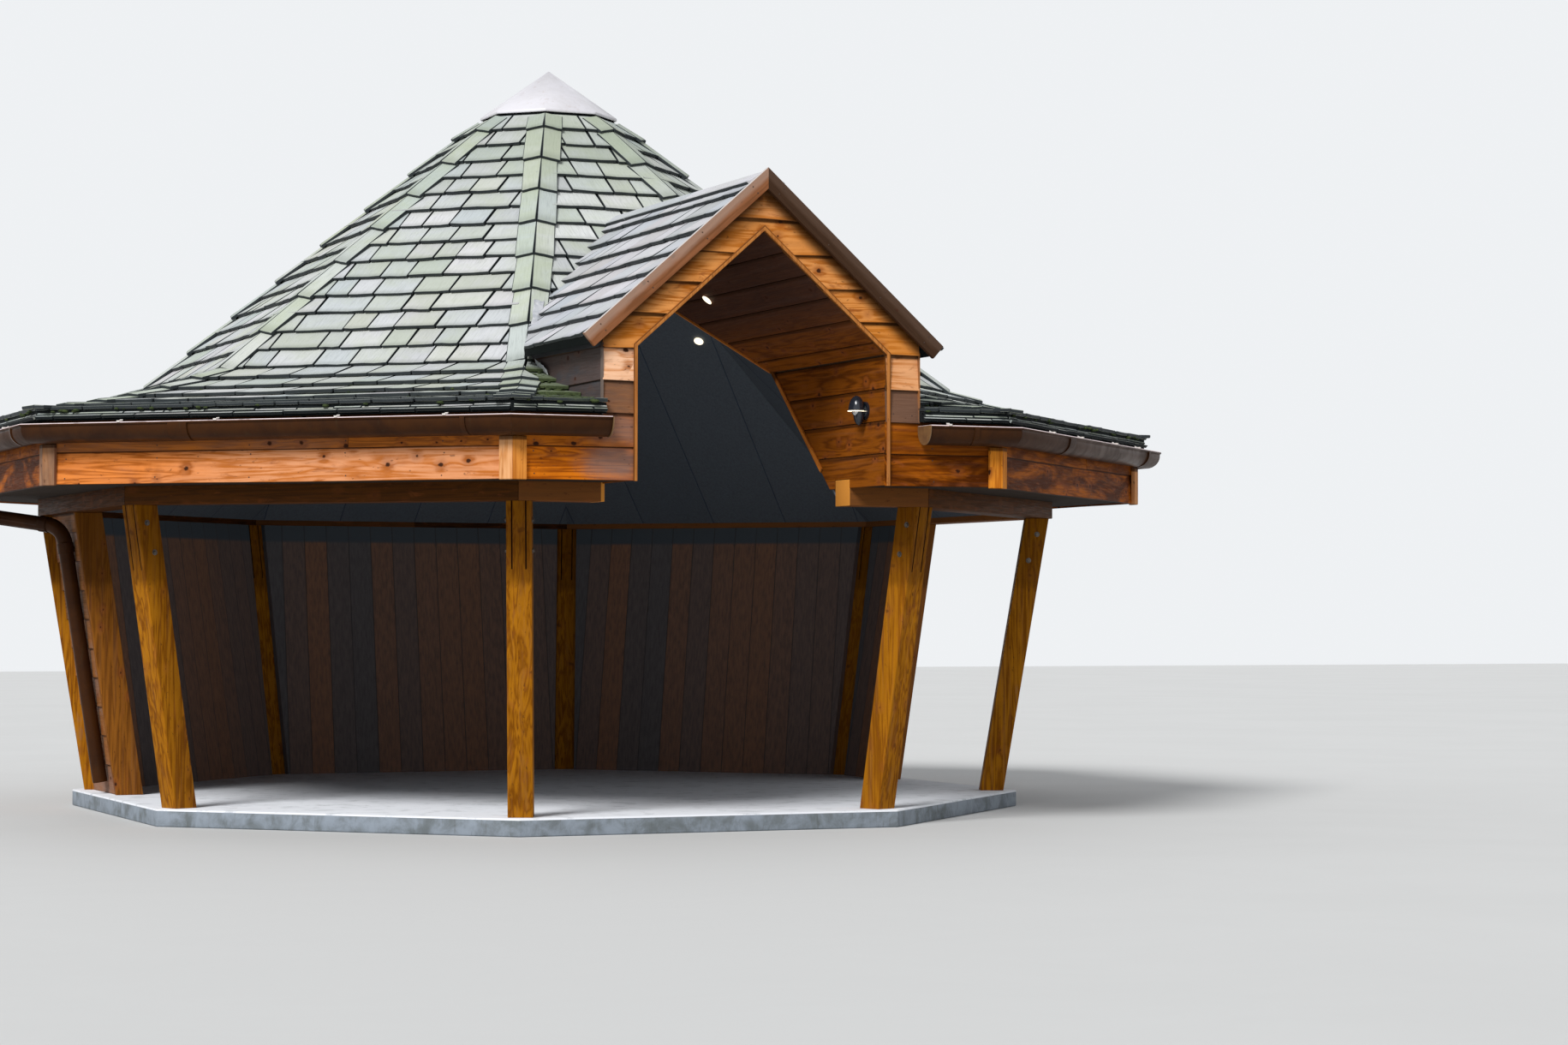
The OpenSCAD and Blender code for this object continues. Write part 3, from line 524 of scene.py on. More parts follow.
def cornerStiles():  # upright strips where the gable meets the cheeks
    look = stileLook
    draw = random.Random(26)
    copies = []
    for hand in (-1, 1):
        edge = hand * (door["half"] + door["faceSide"])
        out = timber["fascia"] + look["proud"] - look["wide"]
        ends = sorted((edge - hand * look["sunk"], edge + hand * look["proud"]))
        copies.append(laidCopy(shortBlank, panel(0, (out, look["low"]), (out, look["high"]), ends), (0, -1, 0), (0, 0),
                               (look["wide"], look["wide"]), draw, grain="y", tone=look["tones"][hand]))
    return joined(copies, "cornerStiles")


stiles = cornerStiles()

bargeLook = {"wide": 0.076, "thick": 0.025, "past": 0.10, "over": 0.020, "wave": 0.0008, "tones": {-1: 0.55, 1: 1.3}}


def bargeBoards():
    look = bargeLook
    draw = random.Random(37)
    top = door["ridgeZ"] + door["bargeRise"] / math.cos(roof["pitch"])
    length = door["roofHalf"] / math.cos(roof["pitch"]) + look["over"]
    halves = []
    for hand in (-1, 1):
        normal, down = slopeWays(hand)
        inner = -normal * look["wide"]
        apex = np.array([0, -door["front"], top])
        left, right = handed(hand, (apex - down * look["past"], apex + down * length))
        piece = laidCopy(boardBlank, [left + inner, right + inner, right, left], (0, -1, 0), (0, 0),
                         (look["thick"], look["thick"]), draw, wave=look["wave"], tone=look["tones"][hand])
        cutAway(piece, (0, 0, 0), (-hand, 0, 0))
        halves.append(piece)
    return joined(halves, "bargeTimbers")


barge = bargeBoards()

cheekLook = {"ends": (-2.8790, -1.95), "courses": 3, "lap": 0.012, "lift": (-0.010, -0.012), "thick": (0.013, 0.006),
             "wave": 0.002}


def cheekBoards():  # outside the entrance's side walls, above the eaves
    look = cheekLook
    draw = random.Random(29)
    copies = []
    face = door["half"] + door["faceSide"]
    for hand in (-1, 1):
        for course in range(look["courses"]):
            low = timber["eavesTop"] + course * timber["cover"]
            corners = uprightPanel(hand * face, low, low + timber["cover"] + look["lap"], handed(hand, look["ends"]))
            copies.append(laidCopy(boardBlank, corners, (hand, 0, 0), look["lift"], look["thick"], draw,
                                   wave=look["wave"]))
    piece = joined(copies, "cheekBoards")
    carved(piece, gableBlock(door["faceSide"] + 0.02, door["faceRise"] + 0.004, 1.5), "INTERSECT")
    return piece


cheeks = cheekBoards()

liningLook = {"ends": (-0.35, -2.8794), "cover": 0.150, "gap": 0.003, "apexGap": 0.010, "footLap": 0.006,
              "least": 0.01, "ceilingRise": 0.030, "beamCut": (1.4, 0.002, 1.6, 0.124)}


def entranceLining():  # level boards on the inner sides and slopes of the entrance
    look = liningLook
    draw = random.Random(31)
    copies = []
    thick = (door["lining"], door["lining"])
    slope = door["half"] / math.cos(roof["pitch"])
    top = door["apexZ"] + door["lining"] / math.cos(roof["pitch"])
    for hand in (-1, 1):
        low = timber["fasciaZ"]
        while low < door["sideZ"] - look["least"]:
            corners = uprightPanel(hand * (door["half"] + door["lining"]), low + look["gap"],
                                   min(low + look["cover"], door["sideZ"]), handed(hand, look["ends"]))
            copies.append(laidCopy(boardBlank, corners, (-hand, 0, 0), (0, 0), thick, draw))
            low += look["cover"]
        run = 0.0
        while run < slope - look["least"]:
            high = run + look["gap"] + (0 if run else look["apexGap"])
            corners = slopePanel(hand, top, min(run + look["cover"], slope + look["footLap"]), high, look["ends"])
            copies.append(laidCopy(boardBlank, corners, -slopeWays(hand)[0], (0, 0), thick, draw))
            run += look["cover"]
    piece = joined(copies, "entranceLining")
    cutAway(piece, (0, -timber["beamIn"], timber["beamZ"] + look["ceilingRise"]),
            (0, math.sin(roof["ceiling"]), -math.cos(roof["ceiling"])))
    wide, spare, middle, tall = look["beamCut"]
    bpy.ops.mesh.primitive_cube_add(size=1, location=(0, -(timber["beamIn"] + timber["beamOut"]) / 2, middle),
                                    scale=(wide, timber["beamOut"] - timber["beamIn"] + spare, tall))
    carved(piece, fresh())
    return piece


beadLook = {"footZ": 1.70, "wide": 0.022, "slopeWide": 0.012, "apexGap": 0.01, "lift": (-0.006, -0.006),
            "thick": (0.014, 0.014)}


def liningBeads():  # rounded strips along the lining's inner edge, where it meets the ceiling
    look = beadLook
    draw = random.Random(33)
    base = timber["beamZ"] + liningLook["ceilingRise"]
    copies = []
    for hand in (-1, 1):
        foot, kink, top = [np.array([hand * x, -timber["beamIn"] + (z - base) / math.tan(roof["ceiling"]), z])
                           for x, z in ((door["half"], look["footZ"]), (door["half"], door["sideZ"]),
                                        (look["apexGap"], door["apexZ"] - look["apexGap"]))]
        for low, high, wide, normal in ((foot, kink, look["wide"], (-hand, 0, 0)),
                                        (kink, top, look["slopeWide"], -slopeWays(hand)[0])):
            run = (high - low) / np.linalg.norm(high - low)
            across = np.cross(run, normal) * hand * wide
            spots = [low, low + across, high + across, high]
            copies.append(laidCopy(shortBlank, spots if hand > 0 else [spots[1], spots[0], spots[3], spots[2]], normal,
                                   look["lift"], look["thick"], draw, grain="y", tone=0.0))
    return joined(copies, "liningBeads")


lining = entranceLining()
beads = liningBeads()
print("entrance boarded")

# leaning walls: lapped boards outside
wallLook = {"faceOut": 0.060, "inset": 0.030, "lap": 0.014, "endGap": 0.001, "beamGap": 0.001, "least": 0.02,
            "lift": (-0.008, -0.010), "thick": (0.012, 0.004), "wave": 0.0015}


def postOut(z):  # from the middle to a post's centre line, along the corner
    return post["foot"] + (z - timber["floorZ"]) * math.tan(post["lean"])


def wallFace(z):
    return (postOut(z) + wallLook["faceOut"] / math.cos(post["lean"]) - wallLook["inset"]) * math.cos(half)


def wallBoards(side, start, end, name):
    look = wallLook
    draw = random.Random(50 + side)
    copies = []
    low = timber["floorZ"]
    clear = post["half"] / math.cos(half) + look["endGap"]
    while low < timber["beamZ"] - look["least"]:
        high = min(low + timber["cover"] + look["lap"], timber["beamZ"] - look["beamGap"])
        outs = wallFace(low), wallFace(high)
        ends = [(max(start, -out * flare + clear), min(end, out * flare - clear)) for out in outs]
        copies.append(laidCopy(boardBlank, panel(side, (outs[0], low), (outs[1], high), *ends), turned(side, 0, 1, 0),
                               look["lift"], look["thick"], draw, wave=look["wave"]))
        low += timber["cover"]
    return joined(copies, name)


walls = [wallBoards(side, start, end, name) for side, start, end, name in
         ((6, -3, -0.321, "boardsLeft"), (2, 0.321, 3, "boardsRight"), (3, -3, 3, "boardsBackRight"),
          (4, -3, 3, "boardsBack"), (5, -3, 3, "boardsBackLeft"))]
print("walls boarded")


# softened copies of solids
def softened(node, name, bevel):
    angle = math.radians(35)
    piece = bpy.data.objects.new(name, nodes[node].data.copy())
    scene.collection.objects.link(piece)
    editAll(piece)
    bpy.ops.mesh.remove_doubles(threshold=0.00005)
    bpy.ops.mesh.dissolve_limited(angle_limit=math.radians(0.5))
    bpy.ops.object.mode_set(mode="OBJECT")
    if bevel:
        applied(piece, "BEVEL", width=bevel, segments=2, limit_method="ANGLE", angle_limit=angle)
    pick(piece)
    bpy.ops.object.shade_smooth_by_angle(angle=angle)
    return piece


posts = [name for name in nodes if name.startswith("post_")]
softPieces = {name: softened(name, name + "Timber", 0.003) for name in posts}
for node, name, bevel in (("plinth", "plinthStep", 0.008), ("ring_beams", "ringBeams", 0.003),
                          ("entrance_trim", "trimStrip", 0.0015), ("wall_jambs", "jambTimbers", 0.003),
                          ("metal_cap", "capSheet", 0.006), ("gutters", "gutterTroughs", 0.0006),
                          ("downpipe", "pipework", 0.0), ("entrance_lights", "lampBodies", 0.0008)):
    softPieces[node] = softened(node, name, bevel)
print("solids softened")


# small fixings
def placed(blank, spot, direction):
    piece = twin(blank)
    turn = Vector((0, 0, 1)).rotation_difference(Vector(direction)).to_matrix().to_4x4()
    turn.translation = Vector(spot)
    piece.data.transform(turn)
    return piece


nailLook = {"eaves": ((1.640, -0.0014), (1.738, -0.0072), (1.790, -0.0014)), "endGap": (0.10, 0.08), "every": 0.49,
            "gable": (0.035, 0.13), "gableRise": 0.03, "barge": (0.12, 0.45, 0.80, 1.10), "bargeDrops": (0.020, 0.056),
            "bargeOut": 0.0252, "jitter": 0.006, "gableJitter": 0.004, "radius": 0.0032, "tall": 0.0016}


def boardNails():
    look = nailLook
    draw = random.Random(61)
    bpy.ops.mesh.primitive_cylinder_add(vertices=8, radius=look["radius"], depth=look["tall"],
                                        location=(0, 0, look["tall"] / 4))
    blank = fresh()
    copies = []
    fascia = timber["fascia"]
    jitter = look["jitter"]
    for side in range(8):
        reach = fascia * flare
        for z, inward in look["eaves"]:
            x = -reach + look["endGap"][0]
            while x < reach - look["endGap"][1]:
                if side or abs(x) > door["half"] + 0.02:
                    spot = turned(side, x + draw.uniform(-jitter, jitter), fascia + inward,
                                  z + draw.uniform(-jitter, jitter))
                    copies.append(placed(blank, spot, turned(side, 0, 1, 0.06)))
                x += look["every"]
    pitch = roof["pitch"]
    top = door["apexZ"] + (door["roofRise"] + door["bargeRise"]) / math.cos(pitch)
    for hand in (-1, 1):
        for course in range(3):
            for shift in look["gable"]:
                z = timber["eavesTop"] + course * timber["cover"] + look["gableRise"]
                if z < door["sideZ"]:
                    spot = (hand * (door["half"] + shift), -fascia + 0.0005,
                            z + draw.uniform(-look["gableJitter"], look["gableJitter"]))
                    copies.append(placed(blank, spot, (0, -1, 0)))
        for run in look["barge"]:
            for drop in look["bargeDrops"]:
                spot = (hand * (run * math.cos(pitch) - drop * math.sin(pitch)), -door["front"] - look["bargeOut"],
                        top - run * math.sin(pitch) - drop * math.cos(pitch))
                copies.append(placed(blank, spot, (0, -1, 0)))
    bpy.data.objects.remove(blank)
    return joined(copies, "boardNails")


gutterLook = {"middle": 2.9719, "bandRadius": 0.0684, "bandZ": 1.8725, "bandRise": 0.0165, "discRadius": 0.0690,
              "discThick": 0.004, "discRise": 0.020, "bands": ((-0.42, 0.10), (1.02, 0.024)),
              "clips": (-0.78, -0.20, 0.40, 0.88), "clipPlace": (-3.0310, 1.8965), "clipSize": (0.016, 0.020, 0.008),
              "clipStep": (0, 0.010, 0.006), "clipJitter": 0.06, "bandsClear": 1.0, "clipsClear": 0.85,
              "discInset": 0.004}


def troughSlice(vertices, radius, wide, rise):  # the lower half of a disc, with straight sides above it
    bpy.ops.mesh.primitive_cylinder_add(vertices=vertices, radius=radius, depth=wide, rotation=(0, math.pi / 2, 0))
    piece = fresh()
    cutAway(piece, (0, 0, 0), (0, 0, 1))
    drawnUp(piece, (0, 0, rise))
    bpy.ops.object.mode_set(mode="OBJECT")
    pick(piece)
    return piece


def gutterBands():  # couplings between the gutter's lengths
    look = gutterLook
    copies = []
    for side in range(8):
        for x, wide in look["bands"]:
            if side == 0 and abs(x) < look["bandsClear"]:
                continue
            band = troughSlice(32, look["bandRadius"], wide, look["bandRise"])
            bpy.ops.transform.translate(value=(x, -look["middle"], look["bandZ"]))
            copies.append(besideSide(band, side))
    return joined(copies, "gutterBands")


def stopDiscs():  # paler plates that close the gutter beside the entrance
    look = gutterLook
    copies = []
    edge = door["half"] + door["faceSide"] - look["discInset"]
    for hand in (-1, 1):
        troughSlice(40, look["discRadius"], look["discThick"], look["discRise"])
        bpy.ops.transform.translate(value=(hand * edge, -look["middle"], look["bandZ"]))
        copies.append(fresh())
    return joined(copies, "stopDiscs")


def lipClips():
    look = gutterLook
    draw = random.Random(83)
    copies = []
    for side in range(8):
        for x in look["clips"]:
            if side == 0 and abs(x) < look["clipsClear"]:
                continue
            x += draw.uniform(-look["clipJitter"], look["clipJitter"])
            bpy.ops.mesh.primitive_cube_add(size=1, location=(x, *look["clipPlace"]), scale=look["clipSize"])
            clip = bpy.context.object
            drawnUp(clip, look["clipStep"], 1)
            bpy.ops.object.mode_set(mode="OBJECT")
            copies.append(besideSide(clip, side))
    return joined(copies, "lipClips")


mossLook = {"eachSide": 34, "bias": 0.7, "courses": 4, "eavesSizes": (0.004, 0.010),
            "valleyCounts": ((-1, 80), (1, 30)), "valleyX": (0.80, 1.02), "valleyY": (2.10, 2.90),
            "valleySizes": (0.005, 0.013), "valleyLift": 0.014, "stretch": (1.0, 2.2), "tall": (0.6, 0.9),
            "rough": 0.22, "above": (0.010, 0.004), "aboveJitter": (-0.004, 0.010), "endClear": 0.05,
            "entranceClear": 0.01, "hipClear": 0.02}


def mossTufts():  # cushions of moss along the eaves and thick in the valley beside the entrance
    look = mossLook
    draw = random.Random(97)
    bpy.ops.mesh.primitive_uv_sphere_add(segments=8, ring_count=5, radius=1)
    ball = bpy.context.object
    bpy.ops.object.shade_smooth()
    base = np.array([list(v.co) for v in ball.data.vertices])
    spots = []
    for side in range(8):
        for _ in range(look["eachSide"]):
            out, z, pitch = courses[min(int(draw.expovariate(look["bias"])), look["courses"])]
            x = draw.uniform(-out * flare + look["endClear"], out * flare - look["endClear"])
            if side == 0 and abs(x) < door["half"] + door["faceSide"] + look["entranceClear"]:
                continue
            outward, upward = look["above"]
            above = turned(side, 0, math.cos(pitch) * outward, upward + draw.uniform(*look["aboveJitter"]))
            spots.append((turned(side, x, out, z) + above, draw.uniform(*look["eavesSizes"])))
    for hand, count in look["valleyCounts"]:
        while count:
            x, y = hand * draw.uniform(*look["valleyX"]), -draw.uniform(*look["valleyY"])
            if abs(x) < -y * flare + look["hipClear"]:
                place = np.array([x, y, roofHeight(x, y) + look["valleyLift"]])
                spots.append((place, draw.uniform(*look["valleySizes"])))
                count -= 1
    copies = []
    for place, radius in spots:
        tuft = twin(ball)
        size = np.array([draw.uniform(*limits) for limits in (look["stretch"], look["stretch"], look["tall"])]) * radius
        rough = 1 + np.array([draw.uniform(-look["rough"], look["rough"]) for _ in range(len(base))])[:, None]
        tuft.data.vertices.foreach_set("co", (base * rough * size + place).ravel())
        copies.append(tuft)
    bpy.data.objects.remove(ball)
    return joined(copies, "mossTufts")


leadLook = {"crumple": 0.09, "lift": 0.010, "thick": 0.002, "valley": ((1.62, 0.030), (2.00, 0.105)), "hipClear": 0.02,
            "valleyWide": 0.050, "cheek": (-2.22, -2.06), "cheekLift": 0.018, "cheekWide": (0.010, 0.030)}


def leadSheet(name, start, end, across, normal, draw):  # crumpled strip from one point to another
    look = leadLook
    bpy.ops.mesh.primitive_grid_add(x_subdivisions=16, y_subdivisions=5, size=1)
    sheet = bpy.context.object
    sheet.name = name
    start, end, across, normal = [np.array(v, dtype=float) for v in (start, end, across, normal)]
    places = []
    for vertex in sheet.data.vertices:
        x, y = vertex.co.x + 0.5, vertex.co.y + 0.5 + draw.uniform(-look["crumple"], look["crumple"])
        places.append(start + (end - start) * x + across * y + normal * draw.uniform(0, look["lift"]))
    sheet.data.vertices.foreach_set("co", np.array(places).ravel())
    applied(sheet, "SOLIDIFY", thickness=look["thick"])
    applied(sheet, "SUBSURF", levels=1)
    pick(sheet)
    bpy.ops.object.shade_smooth()
    return sheet


def leadwork():  # in the valleys, and where the cheeks stand on the roof
    look = leadLook
    draw = random.Random(71)
    sheets = []
    face = door["half"] + door["faceSide"] + 0.003
    for hand in (-1, 1):
        ends = []
        for out, lift in look["valley"]:
            x = hand * (out * flare - look["hipClear"])
            ends.append((x, -out, roofHeight(x, -out) + lift))
        sheets.append(leadSheet("valleyLead", *ends, (-hand * look["valleyWide"], 0, -0.004), (0, -0.5, 0.8), draw))
        ends = [(hand * face, y, roofHeight(face, y) + look["cheekLift"]) for y in look["cheek"]]
        wide, tall = look["cheekWide"]
        sheets.append(leadSheet("cheekLead", *ends, (hand * wide, 0, tall), (hand, 0, 0.2), draw))
    return joined(sheets, "leadwork")


lampLook = {"place": (0.570, -2.678, 1.974), "dome": (0.038, 0.042, 0.070), "shade": (0.026, 0.033, 0.064),
            "shadeShift": (0.012, -0.006), "plateRadius": 0.043, "plateThick": 0.012, "plateShift": 0.0415,
            "glowShift": (-0.004, -0.0025), "glowThick": 0.0025, "glowRadius": 0.039, "spotRadius": 0.027,
            "spotLift": 0.0085, "inSlope": (0.225, -1.693), "inCeiling": (3, -0.380, 1.190, 2.5633)}


def ovalCap(place, radii, keepUpper):  # half of a stretched ball
    bpy.ops.mesh.primitive_uv_sphere_add(segments=32, ring_count=16, radius=1, location=place, scale=radii)
    piece = fresh()
    cutAway(piece, place, (0, 0, -1 if keepUpper else 1))
    pick(piece)
    bpy.ops.object.shade_smooth_by_angle(angle=math.radians(40))
    return piece


def spotLamp():
    look = lampLook
    x, y, z = look["place"]
    dome = ovalCap((x, y, z), look["dome"], True)
    shade = ovalCap((x + look["shadeShift"][0], y, z + look["shadeShift"][1]), look["shade"], False)
    bpy.ops.mesh.primitive_cylinder_add(vertices=32, radius=look["plateRadius"], depth=look["plateThick"],
                                        location=(x + look["plateShift"], y, z), rotation=(0, math.pi / 2, 0))
    return joined([dome, shade, fresh()], "spotLamp")


def glowDiscs():  # one in the entrance's slope, one in the ceiling and one under the lamp
    look = lampLook
    x, y, z = look["place"]
    slopeX, slopeY = look["inSlope"]
    recessed = look["spotRadius"], look["spotLift"]
    spots = [((slopeX, slopeY, door["apexZ"] - slopeX * math.tan(roof["pitch"])), -slopeWays(1)[0], *recessed),
             (turned(*look["inCeiling"]), -courseWays(look["inCeiling"][0], roof["ceiling"])[0], *recessed),
             ((x + look["glowShift"][0], y, z + look["glowShift"][1]), (0, 0, -1), look["glowRadius"], 0.0)]
    discs = []
    for spot, direction, radius, lift in spots:
        bpy.ops.mesh.primitive_cylinder_add(vertices=32, radius=radius, depth=look["glowThick"], location=(0, 0, lift))
        blank = fresh()
        discs.append(placed(blank, spot, direction))
        bpy.data.objects.remove(blank)
    return joined(discs, "glowDiscs")


boltLook = {"washer": (0.014, 0.002), "head": (0.0085, 0.007), "bevel": 0.0012,
            "drops": ((0.085, 0.012), (0.225, -0.010))}


def postBolts():
    look = boltLook
    parts = []
    base = 0.0
    for vertices, (radius, tall) in ((20, look["washer"]), (6, look["head"])):
        bpy.ops.mesh.primitive_cylinder_add(vertices=vertices, radius=radius, depth=tall,
                                            location=(0, 0, base + tall / 2))
        parts.append(bpy.context.object)
        base += tall
    upperFaces(parts[1])
    bpy.ops.mesh.bevel(offset=look["bevel"], segments=1)
    bpy.ops.object.mode_set(mode="OBJECT")
    blank = joined(parts, "boltBlank")
    bpy.ops.object.transform_apply()
    copies = []
    for corner in range(8):
        angle = half + corner * math.pi / 4
        for drop, shift in look["drops"]:
            z = timber["beamZ"] - drop
            out = postOut(z) + shift
            for hand in (-1, 1):  # on the two faces beside the middle lamination's ends
                aside = hand * post["half"]
                place = (out * math.sin(angle) + aside * math.cos(angle),
                         -out * math.cos(angle) + aside * math.sin(angle), z)
                copies.append(placed(blank, place, (hand * math.cos(angle), hand * math.sin(angle), 0)))
    bpy.data.objects.remove(blank)
    return joined(copies, "postBolts")


bolts = postBolts()
nails = boardNails()
bands = gutterBands()
stops = stopDiscs()
clips = lipClips()
tufts = mossTufts()
lead = leadwork()
lampBody = spotLamp()
glow = glowDiscs()
print("fixings set")


# finishes; a colour is given without its alpha
def put(tree, kind, values=None, **settings):
    node = tree.nodes.new(kind)
    for name, value in settings.items():
        setattr(node, name, value)
    for name, value in (values or {}).items():
        socket = node.inputs[name]
        if isinstance(value, bpy.types.NodeSocket):
            tree.links.new(value, socket)
        else:
            socket.default_value = (*value, 1) if socket.type == "RGBA" else value
    return node


def mixed(tree, share, first, second):
    return put(tree, "ShaderNodeMix", {0: share, 6: first, 7: second}, data_type="RGBA").outputs[2]


def span(tree, value, low, high, toLow=0.0, toHigh=1.0):
    return put(tree, "ShaderNodeMapRange", {"Value": value, "From Min": low, "From Max": high, "To Min": toLow,
                                            "To Max": toHigh}, interpolation_type="SMOOTHSTEP").outputs[0]


def sums(tree, operation, first, second=0.0):
    return put(tree, "ShaderNodeMath", {0: first, 1: second}, operation=operation).outputs[0]


def plus(tree, first, second, *others):
    return sums(tree, "ADD", first, plus(tree, second, *others) if others else second)


def times(tree, first, second, *others):
    return sums(tree, "MULTIPLY", first, times(tree, second, *others) if others else second)


def absolute(tree, value):
    return sums(tree, "ABSOLUTE", value)


def parted(tree, vector):
    return put(tree, "ShaderNodeSeparateXYZ", {0: vector}).outputs


def hues(tree, colour):
    return put(tree, "ShaderNodeSeparateColor", {0: colour}).outputs


def distance(tree, first, second):
    return put(tree, "ShaderNodeVectorMath", {0: first, 1: second}, operation="DISTANCE").outputs["Value"]


def chanceOf(tree, number):  # a random value and colour for each number
    return put(tree, "ShaderNodeTexWhiteNoise", {"W": number}, noise_dimensions="1D").outputs


def stretched(tree, vector, scale):
    return put(tree, "ShaderNodeMapping", {"Vector": vector, "Scale": scale}).outputs[0]


def cloud(tree, vector, scale, detail, rough=0.55, warp=0.0):  # scale is one number, or one for each axis
    if isinstance(scale, tuple):
        vector, scale = stretched(tree, vector, scale), 1.0
    return put(tree, "ShaderNodeTexNoise", {"Vector": vector, "Scale": scale, "Detail": detail, "Roughness": rough,
                                            "Distortion": warp}).outputs["Fac"]


def effect(name, share, outs):  # a shared group that reads a vector and one number
    tree = bpy.data.node_groups.new(name, "ShaderNodeTree")
    tree.interface.new_socket("Vector", in_out="INPUT", socket_type="NodeSocketVector")
    tree.interface.new_socket(share[0], in_out="INPUT", socket_type="NodeSocketFloat").default_value = share[1]
    for label in outs:
        tree.interface.new_socket(label, in_out="OUTPUT", socket_type="NodeSocketFloat")
    start = tree.nodes.new("NodeGroupInput").outputs
    return tree, start["Vector"], start[share[0]], tree.nodes.new("NodeGroupOutput")


def ownSide(tree, places, corner=False):  # places turned to the front of their side or corner, and its number
    parts = parted(tree, places)
    share = sums(tree, "DIVIDE", sums(tree, "ARCTAN2", parts[0], times(tree, parts[1], -1.0)), math.pi / 4)
    side = plus(tree, sums(tree, "FLOOR", share), 0.5) if corner else sums(tree, "ROUND", share)
    turn = put(tree, "ShaderNodeVectorRotate", {"Vector": places, "Angle": times(tree, side, -math.pi / 4)},
               rotation_type="Z_AXIS")
    return turn.outputs[0], side


def grainEffect():  # grain along X, in metres
    tree, vector, knots, end = effect("boardGrain", ("Knots", 1.0), ("Tone", "Knot", "Halo", "Fibre"))
    parts = parted(tree, vector)
    flat = put(tree, "ShaderNodeCombineXYZ", {0: parts[0], 1: plus(tree, parts[1], parts[2])}).outputs[0]
    cells = put(tree, "ShaderNodeTexVoronoi", {"Vector": stretched(tree, flat, (6.2, 9.5, 1)), "Scale": 1.0,
                                               "Randomness": 1.0}, voronoi_dimensions="2D").outputs
    picks = hues(tree, cells["Color"])
    kept = span(tree, picks[0], 0.40, 0.43)
    jitter = times(tree, cloud(tree, vector, (34, 60, 60), 3, 0.7), 0.13)
    near = plus(tree, plus(tree, cells["Distance"], jitter), times(tree, picks[1], 0.085))
    knot = times(tree, times(tree, span(tree, near, 0.175, 0.125), kept), knots)
    halo = times(tree, times(tree, span(tree, near, 0.42, 0.15), kept), knots)
    bands = cloud(tree, vector, (0.9, 16, 16), 3, 0.6, 0.4)
    rings = sums(tree, "FRACT", times(tree, plus(tree, bands, times(tree, halo, 0.07)), 7.0))
    rings = sums(tree, "POWER", times(tree, sums(tree, "PINGPONG", rings, 0.5), 2.0), 1.6)
    fibre = cloud(tree, vector, (7, 190, 190), 4, 0.7)
    cloudy = cloud(tree, vector, (3.5, 12, 12), 4, 0.65, 0.8)
    tone = plus(tree, times(tree, rings, 0.55), times(tree, fibre, 0.35), times(tree, cloudy, 0.75))
    for name, value in (("Tone", tone), ("Knot", knot), ("Halo", halo), ("Fibre", fibre)):
        tree.links.new(value, end.inputs[name])
    return tree


def weatherEffect():  # broad patches and long streaks where the stain has gone
    tree, vector, share, end = effect("weathering", ("Share", 0.5), ("Patch", "Streak"))
    wide = cloud(tree, vector, (1.6, 5, 5), 5, 0.62, 0.6)
    edge = sums(tree, "SUBTRACT", 0.78, times(tree, share, 0.5))
    patch = span(tree, wide, sums(tree, "SUBTRACT", edge, 0.06), plus(tree, edge, 0.10))
    streak = cloud(tree, vector, (1.2, 42, 42), 3, 0.6)
    tree.links.new(patch, end.inputs["Patch"])
    tree.links.new(span(tree, streak, 0.48, 0.75), end.inputs["Streak"])
    return tree


def mossEffect():
    tree, vector, share, end = effect("moss", ("Share", 0.5), ("Cover", "Tuft"))
    tuft = cloud(tree, vector, 60, 3, 0.7)
    reach = plus(tree, cloud(tree, vector, 2.3, 5, 0.65, 0.3), times(tree, tuft, 0.35))
    edge = sums(tree, "SUBTRACT", 1.05, times(tree, share, 0.6))
    cover = span(tree, reach, sums(tree, "SUBTRACT", edge, 0.10), plus(tree, edge, 0.08))
    tree.links.new(cover, end.inputs["Cover"])
    tree.links.new(tuft, end.inputs["Tuft"])
    return tree


boardGrain, weathering, moss = grainEffect(), weatherEffect(), mossEffect()


def newFinish(name):
    material = bpy.data.materials.new(name)
    material.use_nodes = True
    tree = material.node_tree
    return material, tree, tree.nodes["Principled BSDF"], tree.nodes.new("ShaderNodeTexCoord").outputs["Object"]


def fixed(shader, values):  # constants are set on the shader's own sockets
    for name, value in values.items():
        shader.inputs[name].default_value = value


def bumped(tree, shader, height, strength, deep):
    bump = put(tree, "ShaderNodeBump", {"Height": height, "Strength": strength, "Distance": deep})
    tree.links.new(bump.outputs[0], shader.inputs["Normal"])


# lapDark colours the painted shadow in laps, grooves and under the bargeboards; lapShare sets the laps' share of it
timberLook = {"pale": (0.62, 0.26, 0.10), "deep": (0.36, 0.12, 0.035), "other": (0.45, 0.17, 0.05), "spread": 0.5,
              "halo": (0.26, 0.07, 0.02), "grey": (0.34, 0.24, 0.21), "greyDeep": (0.16, 0.10, 0.08), "greyShare": 0.35,
              "knot": (0.050, 0.017, 0.008), "knots": 1.0, "streaks": 0.15, "smears": 0.35, "specks": 0.5,
              "fresh": (0.62, 0.17, 0.008), "freshDeep": (0.34, 0.08, 0.003), "burnt": (0.075, 0.016, 0.0006),
              "ageFrom": 0.95, "rough": 0.55, "lapAt": 0.93, "lapShare": 0.8, "lapDark": (0.03, 0.011, 0.004)}


